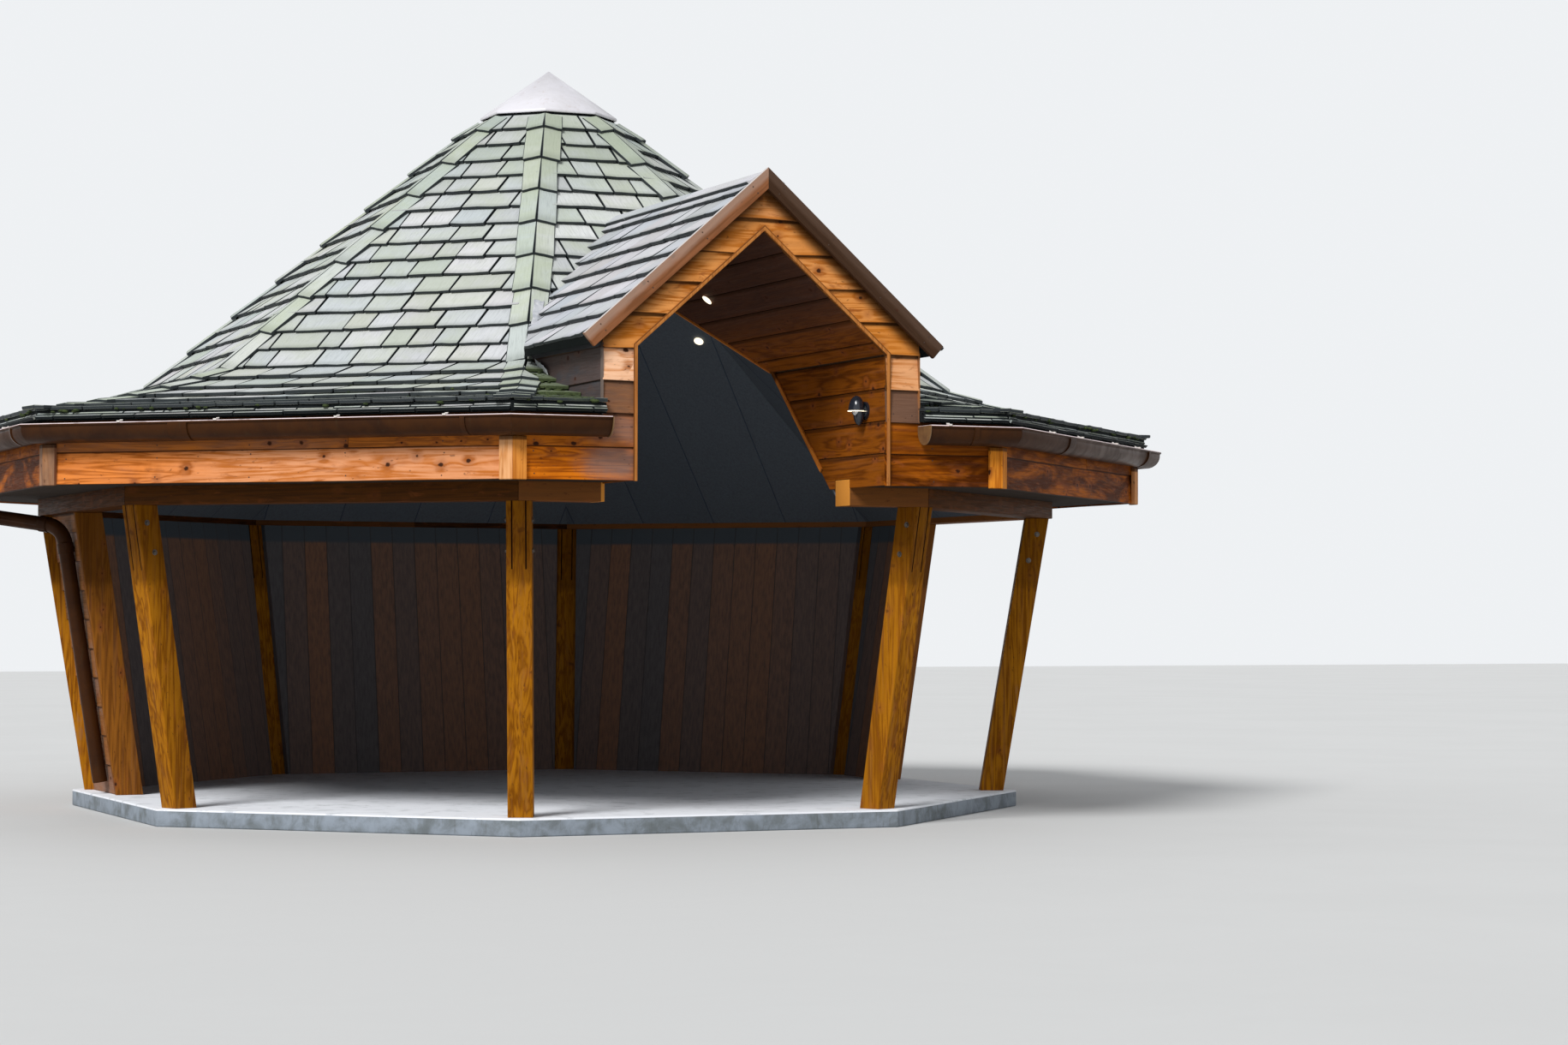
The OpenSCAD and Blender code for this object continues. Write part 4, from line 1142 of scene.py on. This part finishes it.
def timberFinish(name, space="uv", **changes):
    look = dict(timberLook, **changes)
    material, tree, shader, places = newFinish(name)
    spot = None
    if space == "uv":
        vector = put(tree, "ShaderNodeUVMap", None, uv_map="grain").outputs[0]
        number = sums(tree, "FLOOR", parted(tree, vector)[1])
        spot = parted(tree, put(tree, "ShaderNodeUVMap", None, uv_map="spot").outputs[0])
    elif space == "side":
        vector, number = ownSide(tree, places)
    else:
        x, y, z = parted(tree, places)
        vector = put(tree, "ShaderNodeCombineXYZ", {0: z, 1: x, 2: y}).outputs[0]
        number = ownSide(tree, places)[1]
    chance = chanceOf(tree, number)
    grain = put(tree, "ShaderNodeGroup", {"Vector": vector, "Knots": look["knots"]}, node_tree=boardGrain).outputs
    weather = put(tree, "ShaderNodeGroup", {"Vector": vector, "Share": look["greyShare"]}, node_tree=weathering).outputs
    body = mixed(tree, span(tree, grain["Tone"], 0.42, 1.15), look["pale"], look["deep"])
    body = mixed(tree, times(tree, chance["Value"], look["spread"]), body, look["other"])
    greyness = times(tree, weather["Patch"], plus(tree, 0.30, times(tree, hues(tree, chance["Color"])[1], 0.6)))
    if spot:  # a board's own tone: fresh or burnt below 0, greyed from ageFrom on
        aged = spot[0]
        greyness = times(tree, greyness, span(tree, aged, -1.75, -1.1))
        age = plus(tree, aged, times(tree, cloud(tree, vector, (2.2, 9, 1), 4, 0.65), 0.7))
        greyness = sums(tree, "MAXIMUM", greyness, span(tree, age, look["ageFrom"], look["ageFrom"] + 0.5))
        stain = mixed(tree, span(tree, grain["Tone"], 0.45, 1.1), look["fresh"], look["freshDeep"])
        body = mixed(tree, times(tree, aged, -1.0), body, stain)
        if "ripe" in look:  # near one corner the stain has kept its colour
            ragged = times(tree, cloud(tree, vector, (3, 14, 1), 4, 0.65), 0.7)
            far = plus(tree, distance(tree, places, look["ripe"]), ragged)
            body = mixed(tree, span(tree, far, 1.55, 0.75, 0, 0.7), body, stain)
        singed = span(tree, cloud(tree, vector, (2.0, 11, 1), 4, 0.6, 0.8), 0.34, 0.62, 0.50, 1.2)
        body = mixed(tree, times(tree, singed, sums(tree, "SUBTRACT", -1.0, aged)), body, look["burnt"])
    smear = span(tree, cloud(tree, vector, (8, 36, 36), 4, 0.68, 0.5), 0.56, 0.70)
    smear = sums(tree, "MAXIMUM", times(tree, smear, look["smears"]), times(tree, grain["Halo"], 0.5))
    body = mixed(tree, smear, body, look["halo"])
    if "charcoalFrom" in look:  # the lining darkens towards its ridge
        high = parted(tree, places)[2]
        share = span(tree, high, look["charcoalFrom"], look["charcoalFrom"] + 0.32, 0, 0.88)
        body = mixed(tree, share, body, look["charcoal"])
    if "patch" in look:  # a grey patch round one place
        far = distance(tree, stretched(tree, places, (1, 1, 2)), look["patch"])
        far = plus(tree, far, times(tree, cloud(tree, places, 16, 4, 0.6), 0.12))
        greyness = sums(tree, "MAXIMUM", greyness, times(tree, span(tree, far, 0.30, 0.12), 0.75))
    body = mixed(tree, greyness, body, mixed(tree, grain["Fibre"], look["grey"], look["greyDeep"]))
    body = mixed(tree, times(tree, weather["Streak"], look["streaks"]), body, look["greyDeep"])
    specks = span(tree, cloud(tree, vector, (30, 75, 75), 2, 0.5), 0.66, 0.74)
    body = mixed(tree, times(tree, specks, look["specks"]), body, look["knot"])
    body = mixed(tree, grain["Knot"], body, look["knot"])
    if spot:  # painted shadow where one board laps over the next, and painted shade under its lower edge
        lap = sums(tree, "MAXIMUM", span(tree, spot[1], look["lapAt"] - 0.05, look["lapAt"]),
                   span(tree, spot[1], 0.018, 0.002))
        body = mixed(tree, times(tree, lap, look["lapShare"]), body, look["lapDark"])
    if "underBarge" in look or "rim" in look:  # as high as the entrance's slopes are at its middle
        parts = parted(tree, places)
        beside = absolute(tree, parts[0])
        rise = plus(tree, parts[2], times(tree, beside, math.tan(roof["pitch"])))
    if "underBarge" in look:  # painted shadow under the bargeboards
        share = span(tree, rise, look["underBarge"] - 0.080, look["underBarge"] - 0.010, 0, 0.82)
        body = mixed(tree, share, body, look["lapDark"])
    if "washed" in look:  # bleached along the upper edge
        high = plus(tree, spot[1], times(tree, cloud(tree, vector, (3, 14, 1), 4, 0.65), 0.5))
        share = times(tree, span(tree, high, 0.60, 0.95, 0, 0.65), span(tree, aged, 1.25, 0.85, 0.15, 1))
        body = mixed(tree, share, body, look["washed"])
    if "sheltered" in look:  # painted shade close under the beams
        high = plus(tree, parted(tree, places)[2], times(tree, cloud(tree, places, 14, 4, 0.65), 0.08))
        share = span(tree, high, timber["beamZ"] - 0.36, timber["beamZ"] - 0.30, 0, 0.5)
        body = mixed(tree, share, body, look["sheltered"])
    if "rim" in look:  # painted shadow: past the lining's end, the entrance's trim is as dark as the shaded joint beside it
        above = times(tree, sums(tree, "SUBTRACT", rise, door["apexZ"]), math.cos(roof["pitch"]))
        outward = sums(tree, "MAXIMUM", sums(tree, "SUBTRACT", beside, door["half"]), above)
        body = mixed(tree, span(tree, outward, 0.0125, 0.0140), body, look["rim"])
    if "grooveAt" in look:  # painted shade: the grooves beside the middle lamination are dark inside
        close = parted(tree, ownSide(tree, places, True)[0])
        off = absolute(tree, sums(tree, "SUBTRACT", absolute(tree, close[0]), look["grooveAt"]))
        inside = times(tree, sums(tree, "LESS_THAN", off, 0.0034),
                       sums(tree, "GREATER_THAN", close[2], timber["beamZ"] - 0.311))
        body = mixed(tree, inside, body, look["lapDark"])
    if "endGrain" in look:  # the beams' cut ends beside the entrance
        parts = parted(tree, places)
        off = absolute(tree, plus(tree, parts[0], 0.008))
        front = times(tree, sums(tree, "LESS_THAN", off, door["half"] + 0.010),
                      sums(tree, "LESS_THAN", parts[1], -2.0))
        body = mixed(tree, front, body, look["endGrain"])
    if "upper" in look:  # what faces up is paler: weathered grey, and painted light from the sky
        facing = parted(tree, tree.nodes.new("ShaderNodeNewGeometry").outputs["Normal"])[2]
        body = mixed(tree, span(tree, facing, 0.45, 0.65), body, look["upper"])
    tree.links.new(body, shader.inputs["Base Color"])
    dull = span(tree, grain["Fibre"], 0.2, 0.8, look["rough"] - 0.12, look["rough"] + 0.15)
    tree.links.new(dull, shader.inputs["Roughness"])
    fixed(shader, {"Specular IOR Level": 0.04})
    bumped(tree, shader, plus(tree, times(tree, grain["Fibre"], 0.6), times(tree, grain["Tone"], 0.35)), 0.35, 0.002)
    return material


# butt and sides colour the shingles' butts and side edges near black, as painted shade under and between them
shingleColours = {"pale": (0.68, 0.67, 0.69), "mid": (0.53, 0.55, 0.53), "blue": (0.46, 0.54, 0.59),
                  "brown": (0.50, 0.45, 0.46), "dark": (0.17, 0.18, 0.19), "algae": (0.43, 0.48, 0.31),
                  "algaeShare": 0.45, "mossPale": (0.17, 0.22, 0.08), "mossDark": (0.035, 0.05, 0.022), "moss": 0.08,
                  "butt": (0.014, 0.020, 0.023), "sides": (0.484, 0.494), "crown": 3.22,
                  "crownDark": (0.21, 0.26, 0.19)}


def shingleFinish(name, **changes):
    look = dict(shingleColours, **changes)
    material, tree, shader, places = newFinish(name)
    vector = put(tree, "ShaderNodeUVMap", None, uv_map="grain").outputs[0]
    chance = chanceOf(tree, sums(tree, "FLOOR", parted(tree, vector)[1]))
    picks = hues(tree, chance["Color"])
    across, up, _ = parted(tree, put(tree, "ShaderNodeUVMap", None, uv_map="spot").outputs[0])
    beside = absolute(tree, sums(tree, "SUBTRACT", across, 0.5))
    low = parted(tree, places)[2]
    fibre = cloud(tree, vector, (9, 160, 1), 5, 0.7)
    body = mixed(tree, chance["Value"], look["pale"], look["mid"])
    body = mixed(tree, times(tree, picks[0], 0.45), body, look["blue"])
    body = mixed(tree, times(tree, span(tree, picks[1], 0.5, 1.0), 0.32), body, look["brown"])
    body = mixed(tree, span(tree, fibre, 0.42, 0.80, 0.0, 0.50), body, look["dark"])
    algae = plus(tree, times(tree, cloud(tree, places, 2.6, 5, 0.7, 0.5), 1.4), times(tree, picks[2], 0.35))
    body = mixed(tree, times(tree, span(tree, algae, 0.62, 1.15), look["algaeShare"]), body, look["algae"])
    damp = span(tree, plus(tree, up, times(tree, fibre, 0.12)), 0.34, 0.06, 0, 0.28)
    body = mixed(tree, damp, body, look["mossDark"])
    growth = put(tree, "ShaderNodeGroup", {"Vector": places, "Share": look["moss"]}, node_tree=moss).outputs
    cushion = mixed(tree, growth["Tuft"], look["mossPale"], look["mossDark"])
    body = mixed(tree, times(tree, growth["Cover"], 0.6), body, cushion)
    crown = plus(tree, low, times(tree, cloud(tree, places, 5, 4, 0.7), 0.5))
    body = mixed(tree, span(tree, crown, look["crown"], look["crown"] + 0.70, 0, 0.36), body, look["crownDark"])
    if "eaves" in look:  # moss thickens on the lowest courses
        rise = plus(tree, low, times(tree, cloud(tree, places, 7, 5, 0.75), 0.30))
        body = mixed(tree, span(tree, rise, look["eaves"] + 0.26, look["eaves"] + 0.10, 0, 0.12), body, cushion)
    # painted shade: butts and side edges near black for the shadow under and between shingles
    edge = sums(tree, "MAXIMUM", span(tree, up, 0.012, 0.002), span(tree, beside, *look["sides"]))
    body = mixed(tree, edge, body, look["butt"])
    if "valley" in look:  # thick growth where the entrance's roof meets the hip
        ragged = times(tree, cloud(tree, places, 14, 4, 0.7), 0.5)
        far = plus(tree, distance(tree, places, look["valley"]), ragged)
        body = mixed(tree, times(tree, span(tree, far, 0.86, 0.50), 0.85), body, cushion)
    tree.links.new(body, shader.inputs["Base Color"])
    tree.links.new(span(tree, fibre, 0.2, 0.9, 0.62, 0.92), shader.inputs["Roughness"])
    bumped(tree, shader, plus(tree, fibre, times(tree, growth["Tuft"], 0.3)), 0.5, 0.002)
    return material


def boardedFinish(name, **look):  # boards drawn on the eight-sided solids; axis is the one across them
    material, tree, shader, places = newFinish(name)
    place = ownSide(tree, places)[0]
    parts = parted(tree, place)
    run = sums(tree, "DIVIDE", parts[look["axis"]], look["width"])
    gap = sums(tree, "PINGPONG", sums(tree, "FRACT", run), 0.5)
    chance = chanceOf(tree, sums(tree, "FLOOR", run))["Value"]
    fibre = cloud(tree, place, (6, 90, 90) if look["axis"] == 2 else (90, 90, 6), 4, 0.65)
    body = mixed(tree, chance, look["first"], look["second"])
    body = mixed(tree, span(tree, fibre, 0.3, 0.8, 0, 0.6), body, look["dark"])
    if "topZ" in look:
        body = mixed(tree, span(tree, parts[2], look["topZ"] - 0.01, look["topZ"] + 0.01), body, look["top"])
    closed = span(tree, gap, 0.0, 0.004 / look["width"])
    body = mixed(tree, closed, look.get("joint", look["dark"]), body)
    tree.links.new(body, shader.inputs["Base Color"])
    fixed(shader, {"Roughness": look["rough"], "Specular IOR Level": 0.12})
    bumped(tree, shader, plus(tree, closed, times(tree, fibre, 0.12)), 0.6, 0.004)
    return material


def plainFinish(name, **look):  # metal, plastic and masonry: a body, blotches, dirt in upright streaks, and a fine grain
    material, tree, shader, places = newFinish(name)
    blotch = cloud(tree, places, look["scale"], 5, 0.65, 0.4)
    fine = cloud(tree, places, look["scale"] * 14, 3, 0.7)
    body = mixed(tree, span(tree, blotch, 0.35, 0.70), look["body"], look["second"])
    dirt = cloud(tree, stretched(tree, places, (9, 9, 1.2)), look["scale"] * 0.6, 5, 0.7)
    body = mixed(tree, span(tree, dirt, 0.55, 0.78, 0, look["dirtShare"]), body, look["dirt"])
    if "upper" in look:  # a different colour on what faces up
        facing = parted(tree, tree.nodes.new("ShaderNodeNewGeometry").outputs["Normal"])[2]
        upper = mixed(tree, blotch, look["upper"], look["second"])
        body = mixed(tree, span(tree, facing, 0.3, 0.8), body, upper)
    if "lipZ" in look:  # painted highlight along a top edge: the gutter's rolled lip, and the plinth riser's top
        high = span(tree, parted(tree, places)[2], look["lipZ"] - 0.001, look["lipZ"] + 0.001)
        body = mixed(tree, times(tree, high, span(tree, blotch, 0.3, 0.5, 0.45, 1.0)), body, look["lip"])
    tree.links.new(body, shader.inputs["Base Color"])
    dull = span(tree, blotch, 0.3, 0.8, look["rough"] - 0.08, look["rough"] + 0.14)
    tree.links.new(dull, shader.inputs["Roughness"])
    fixed(shader, {"Metallic": look.get("metal", 0.0), "Specular IOR Level": look.get("specular", 0.5)})
    bumped(tree, shader, plus(tree, times(tree, blotch, 0.2), times(tree, fine, 0.25)), look["bump"], 0.003)
    return material


def lampFinish():
    material, tree, shader, places = newFinish("lampGlass")
    glow = mixed(tree, cloud(tree, places, 90, 2), (1.0, 0.90, 0.72), (1.0, 0.80, 0.50))
    tree.links.new(glow, shader.inputs["Emission Color"])
    fixed(shader, {"Emission Strength": 1.6, "Base Color": (0.9, 0.85, 0.75, 1)})
    return material


finishes = {
    "shingle": shingleFinish("weatheredShingle", eaves=1.95),
    "valleyShingle": shingleFinish(
        "valleyShingle", eaves=1.95, algaeShare=0.50, valley=(-0.80, -2.46, 2.08), mid=(0.56, 0.59, 0.56),
        pale=(0.74, 0.75, 0.73)),
    "saddle": shingleFinish(
        "saddleShingle", algaeShare=0.6, sides=(0.452, 0.474), mid=(0.50, 0.54, 0.48), pale=(0.62, 0.64, 0.60),
        brown=(0.46, 0.47, 0.41)),
    "dormer": shingleFinish(
        "dormerShingle", algaeShare=0.15, mid=(0.51, 0.51, 0.56), pale=(0.68, 0.66, 0.70), brown=(0.38, 0.31, 0.28),
        moss=0.0),
    # underlay: dark felt, and near black as painted shade in the gaps under and between the shingles
    "under": boardedFinish(
        "roofUnderlay", axis=2, width=0.10, first=(0.016, 0.020, 0.021), second=(0.012, 0.015, 0.016),
        dark=(0.006, 0.007, 0.007), rough=0.95),
    "fasciaLower": timberFinish(
        "fasciaLowerStain", pale=(0.80, 0.37, 0.19), deep=(0.48, 0.14, 0.028), other=(0.60, 0.18, 0.02),
        fresh=(0.76, 0.20, 0.008), freshDeep=(0.36, 0.08, 0.003), greyShare=0.15, ageFrom=1.25, smears=0.5,
        patch=(-0.72, -2.9, 3.40), ripe=(-2.90, -1.20, 1.70), lapAt=0.885, lapShare=0.95),
    "fasciaUpper": timberFinish(
        "fasciaUpperStain", pale=(0.56, 0.155, 0.012), deep=(0.21, 0.052, 0.004), grey=(0.28, 0.18, 0.15),
        greyDeep=(0.13, 0.078, 0.062), greyShare=0.2, lapShare=0.5, patch=(-0.70, -2.9, 3.70)),
    # underBarge: where the painted shadow under the bargeboards begins
    "gable": timberFinish(
        "gableStain", pale=(0.80, 0.33, 0.09), deep=(0.42, 0.12, 0.012), other=(0.58, 0.19, 0.020), spread=0.6,
        grey=(0.24, 0.13, 0.085), greyDeep=(0.10, 0.048, 0.028), greyShare=0.2, lapAt=0.870, smears=0.6,
        fresh=(1.0, 0.62, 0.40), freshDeep=(0.76, 0.34, 0.15),
        underBarge=door["apexZ"] + (door["roofRise"] - 0.054) / math.cos(roof["pitch"])),
    "cheek": timberFinish(
        "cheekStain", pale=(0.11, 0.060, 0.038), deep=(0.06, 0.034, 0.024), grey=(0.085, 0.088, 0.100),
        greyDeep=(0.040, 0.038, 0.042), greyShare=0.9, ageFrom=0.5),
    "stile": timberFinish(
        "stileStain", pale=(0.30, 0.14, 0.06), deep=(0.16, 0.07, 0.03), grey=(0.22, 0.17, 0.145),
        greyDeep=(0.12, 0.09, 0.075), greyShare=0.6),
    "bead": timberFinish("beadStain", pale=(0.72, 0.24, 0.03), deep=(0.50, 0.14, 0.012), greyShare=0.0, knots=0.0),
    "lining": timberFinish(
        "liningStain", pale=(0.28, 0.078, 0.006), deep=(0.13, 0.033, 0.003), other=(0.19, 0.053, 0.004),
        greyShare=0.05, ageFrom=1.9, lapShare=0.6, charcoalFrom=2.20, charcoal=(0.050, 0.026, 0.020)),
    "wall": timberFinish("wallStain", pale=(0.24, 0.11, 0.045), deep=(0.13, 0.055, 0.02), greyShare=0.5),
    "corner": timberFinish(
        "cornerStain", pale=(0.88, 0.46, 0.21), deep=(0.66, 0.28, 0.09), fresh=(0.78, 0.27, 0.025),
        freshDeep=(0.52, 0.15, 0.010), grey=(0.22, 0.13, 0.09), greyDeep=(0.12, 0.065, 0.045), greyShare=0.1,
        ageFrom=1.15),
    # posts and jambs: painted shade in the posts' grooves and close under the beams
    "post": timberFinish(
        "postStain", "upright", pale=(0.42, 0.16, 0.006), deep=(0.19, 0.058, 0.002), other=(0.28, 0.10, 0.004),
        greyShare=0.1, knots=0.55, grooveAt=0.032, sheltered=(0.12, 0.040, 0.002)),
    "jamb": timberFinish(
        "jambStain", "upright", pale=(0.28, 0.098, 0.010), deep=(0.14, 0.045, 0.005), greyShare=0.1,
        sheltered=(0.08, 0.028, 0.003)),
    # the ring beams' colour is darkened as painted shade, for the eaves' shade they stand in
    "beam": timberFinish(
        "beamStain", "side", pale=(0.055, 0.016, 0.001), deep=(0.022, 0.007, 0.001), grey=(0.032, 0.018, 0.010),
        greyDeep=(0.015, 0.009, 0.006), greyShare=0.2, knots=0.3, endGrain=(0.60, 0.24, 0.04)),
    # rim: painted shadow on the trim past the lining's end
    "trim": timberFinish(
        "trimStain", "upright", pale=(0.56, 0.22, 0.05), deep=(0.36, 0.115, 0.018), greyShare=0.1, knots=0.0,
        rim=(0.19, 0.065, 0.015)),
    # upper: the barge's top is paler, weathered grey and painted sky light
    "barge": timberFinish(
        "bargeStain", pale=(0.22, 0.088, 0.046), deep=(0.10, 0.038, 0.022), washed=(0.42, 0.28, 0.21),
        grey=(0.085, 0.042, 0.022), greyDeep=(0.020, 0.010, 0.006), greyShare=0.3, ageFrom=0.9,
        upper=(0.60, 0.56, 0.54), lapShare=0.0, specks=0.3),
    # the soffit's colours are darkened as painted shade under the eaves
    "soffit": boardedFinish(
        "soffitBoards", axis=1, width=0.12, first=(0.026, 0.014, 0.007), second=(0.019, 0.011, 0.006),
        dark=(0.008, 0.005, 0.003), rough=0.9),
    "ceiling": boardedFinish(
        "ceilingBoards", axis=0, width=0.46, first=(0.125, 0.145, 0.168), second=(0.105, 0.125, 0.150),
        dark=(0.078, 0.086, 0.100), rough=0.7, joint=(0.030, 0.045, 0.080)),
    "inner": boardedFinish(
        "innerBoards", axis=0, width=0.135, first=(0.30, 0.15, 0.09), second=(0.13, 0.13, 0.14),
        dark=(0.07, 0.065, 0.065), rough=0.75, topZ=1.44, top=(0.08, 0.095, 0.11)),
    "wood": boardedFinish(
        "roughTimber", axis=0, width=0.2, first=(0.16, 0.09, 0.05), second=(0.12, 0.07, 0.04),
        dark=(0.05, 0.03, 0.02), rough=0.85),
    "zinc": plainFinish(
        "paleZinc", body=(0.76, 0.74, 0.78), second=(0.66, 0.64, 0.66), scale=5.0, dirt=(0.42, 0.30, 0.24),
        dirtShare=0.5, rough=0.48, bump=0.25, metal=0.15),
    # lip: painted highlight on the gutter's rolled lip
    "plastic": plainFinish(
        "brownPlastic", body=(0.052, 0.018, 0.005), second=(0.032, 0.012, 0.005), scale=6.0,
        dirt=(0.060, 0.045, 0.022), dirtShare=0.3, rough=0.40, bump=0.05, specular=0.07, lipZ=1.8912,
        lip=(0.92, 0.76, 0.76)),
    "stop": plainFinish(
        "fadedPlastic", body=(0.20, 0.11, 0.045), second=(0.13, 0.065, 0.028), scale=14.0, dirt=(0.06, 0.04, 0.02),
        dirtShare=0.4, rough=0.45, bump=0.1),
    "clip": plainFinish(
        "paleClip", body=(0.75, 0.70, 0.66), second=(0.6, 0.55, 0.5), scale=40.0, dirt=(0.3, 0.28, 0.2),
        dirtShare=0.3, rough=0.5, bump=0.1),
    "tuft": plainFinish(
        "mossCushion", body=(0.040, 0.058, 0.024), second=(0.075, 0.095, 0.036), scale=30.0,
        dirt=(0.025, 0.035, 0.02), dirtShare=0.8, rough=0.95, bump=0.8, specular=0.1),
    "lead": plainFinish(
        "leadSheet", body=(0.46, 0.48, 0.52), second=(0.66, 0.66, 0.68), scale=22.0, dirt=(0.12, 0.14, 0.12),
        dirtShare=0.5, rough=0.42, bump=0.3, metal=0.3),
    "lampBlack": plainFinish(
        "lampBlack", body=(0.010, 0.013, 0.020), second=(0.018, 0.022, 0.030), scale=12.0, dirt=(0.02, 0.02, 0.02),
        dirtShare=0.1, rough=0.14, bump=0.02),
    "nail": plainFinish(
        "nailHead", body=(0.035, 0.018, 0.012), second=(0.07, 0.03, 0.015), scale=60.0, dirt=(0.02, 0.01, 0.008),
        dirtShare=0.5, rough=0.6, bump=0.1),
    # lip: a pale painted highlight along the plinth riser's top edge
    "masonry": plainFinish(
        "coatedMasonry", body=(0.26, 0.30, 0.35), second=(0.14, 0.16, 0.17), scale=9.0, dirt=(0.08, 0.08, 0.06),
        dirtShare=0.7, rough=0.8, bump=0.5, upper=(0.66, 0.68, 0.70), lipZ=0.076, lip=(0.84, 0.86, 0.90)),
    "chrome": plainFinish(
        "lampChrome", body=(0.60, 0.60, 0.60), second=(0.5, 0.5, 0.5), scale=30.0, dirt=(0.2, 0.2, 0.2),
        dirtShare=0.2, rough=0.2, bump=0.05, metal=0.9),
    "steel": plainFinish(
        "boltSteel", body=(0.16, 0.14, 0.12), second=(0.07, 0.05, 0.04), scale=60.0, dirt=(0.05, 0.025, 0.012),
        dirtShare=0.6, rough=0.45, bump=0.1, metal=0.6),
    "lamp": lampFinish()}
print("finishes mixed")


def keep(piece, slot, finish, *replaced):
    piece.data.materials.clear()
    piece.data.materials.append(finishes[finish])
    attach(piece, "root")
    if replaced:
        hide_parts(*replaced)


for side, piece in enumerate(sides):
    keep(piece, "shingles", "shingle" if side > 1 else "valleyShingle")
for piece in dormerSides:
    keep(piece, "shingles", "dormer")
for piece in walls:
    keep(piece, "stained_timber", "wall")
for name in posts:
    keep(softPieces[name], "stained_timber", "post", name)
for piece, slot, finish, *replaced in (
        (saddles, "shingles", "saddle", "hip_caps"), (ridge, "shingles", "dormer", "dormer_ridge_cap"),
        (tufts, "shingles", "tuft"), (fasciaLower, "stained_timber", "fasciaLower", "fascia_lower_boards"),
        (fasciaUpper, "stained_timber", "fasciaUpper", "fascia_upper_boards"),
        (corners, "stained_timber", "corner", "corner_boards"), (gable, "stained_timber", "gable", "gable_boards"),
        (cheeks, "stained_timber", "cheek"), (stiles, "stained_timber", "stile"), (beads, "stained_timber", "bead"),
        (lining, "stained_timber", "lining", "dormer_lining"), (barge, "stained_timber", "barge", "bargeboards"),
        (bolts, "lamp_metal", "steel"), (nails, "lamp_metal", "nail"), (clips, "lamp_metal", "clip"),
        (lampBody, "lamp_metal", "lampBlack"), (glow, "lamp_metal", "lamp"), (bands, "brown_plastic", "plastic"),
        (stops, "brown_plastic", "stop"), (lead, "zinc", "lead")):
    keep(piece, slot, finish, *replaced)
for node, slot, finish in (("plinth", "coated_masonry", "masonry"), ("ring_beams", "stained_timber", "beam"),
                           ("entrance_trim", "pale_timber", "trim"), ("wall_jambs", "stained_timber", "jamb"),
                           ("metal_cap", "zinc", "zinc"), ("gutters", "brown_plastic", "plastic"),
                           ("downpipe", "brown_plastic", "plastic"), ("entrance_lights", "lamp_metal", "chrome")):
    keep(softPieces[node], slot, finish, node)

dressed = {"eaves_soffit": "soffit", "hip_rafters": "wood", "king_block": "wood", "ceiling_lining": "ceiling",
           "dormer_wall_left": "wood", "dormer_wall_right": "wood", "side_wall_left": "inner",
           "side_wall_right": "inner", "back_wall_left": "inner", "back_wall": "inner", "back_wall_right": "inner",
           "dormer_roof_left": "under", "dormer_roof_right": "under"}
dressed.update({name: "under" for name in nodes if name.startswith("roof_")})
for name, finish in dressed.items():
    nodes[name].data.materials.clear()
    nodes[name].data.materials.append(finishes[finish])
for blank in (shingleBlank, boardBlank, shortBlank):
    bpy.data.objects.remove(blank["piece"])
print("finishes laid on")

# camera, floor and light
view = {"place": (-6.00118, -16.71386, 1.03103), "turn": (91.54902, -0.12355, -23.84059), "lens": 76.2131, "sensor": 36}
bpy.ops.object.camera_add(location=view["place"], rotation=[math.radians(a) for a in view["turn"]])
scene.camera = bpy.context.object
scene.camera.data.lens = view["lens"]
scene.camera.data.sensor_width = view["sensor"]
scene.view_settings.view_transform = "Standard"

bpy.ops.mesh.primitive_plane_add(size=80, location=(0, 0, 0))
floor = bpy.context.object
floor.name = "floor"
floor.data.materials.append(plainFinish(
    "paleFloor", body=(0.68, 0.68, 0.67), second=(0.67, 0.67, 0.66), scale=0.6, dirt=(0.67, 0.67, 0.66), dirtShare=0.1,
    rough=0.8, bump=0.02))

light = {"sky": (0.93, 0.96, 1.0, 1), "skyStrength": 0.42, "backdrop": (0.86, 0.88, 0.90), "sun": 2.8,
         "sunTurn": (50, 0, -49), "sunAngle": 20}


def studioWorld():  # the sky lights the building, and a paler one shows behind it
    world = bpy.data.worlds.new("studio")
    scene.world = world
    world.use_nodes = True
    tree = world.node_tree
    sky = tree.nodes["Background"]
    sky.inputs[0].default_value = light["sky"]
    sky.inputs[1].default_value = light["skyStrength"]
    seen = put(tree, "ShaderNodeBackground", {0: light["backdrop"], 1: 1.0})
    rays = tree.nodes.new("ShaderNodeLightPath").outputs
    seeing = sums(tree, "MAXIMUM", rays["Is Camera Ray"],
                  sums(tree, "MAXIMUM", rays["Is Glossy Ray"], rays["Is Transmission Ray"]))
    blend = put(tree, "ShaderNodeMixShader", {0: seeing, 1: sky.outputs[0], 2: seen.outputs[0]})
    tree.links.new(blend.outputs[0], tree.nodes["World Output"].inputs[0])


studioWorld()
bpy.ops.object.light_add(type="SUN", rotation=[math.radians(a) for a in light["sunTurn"]])
bpy.context.object.data.energy = light["sun"]
bpy.context.object.data.angle = math.radians(light["sunAngle"])
print("camera and light set")
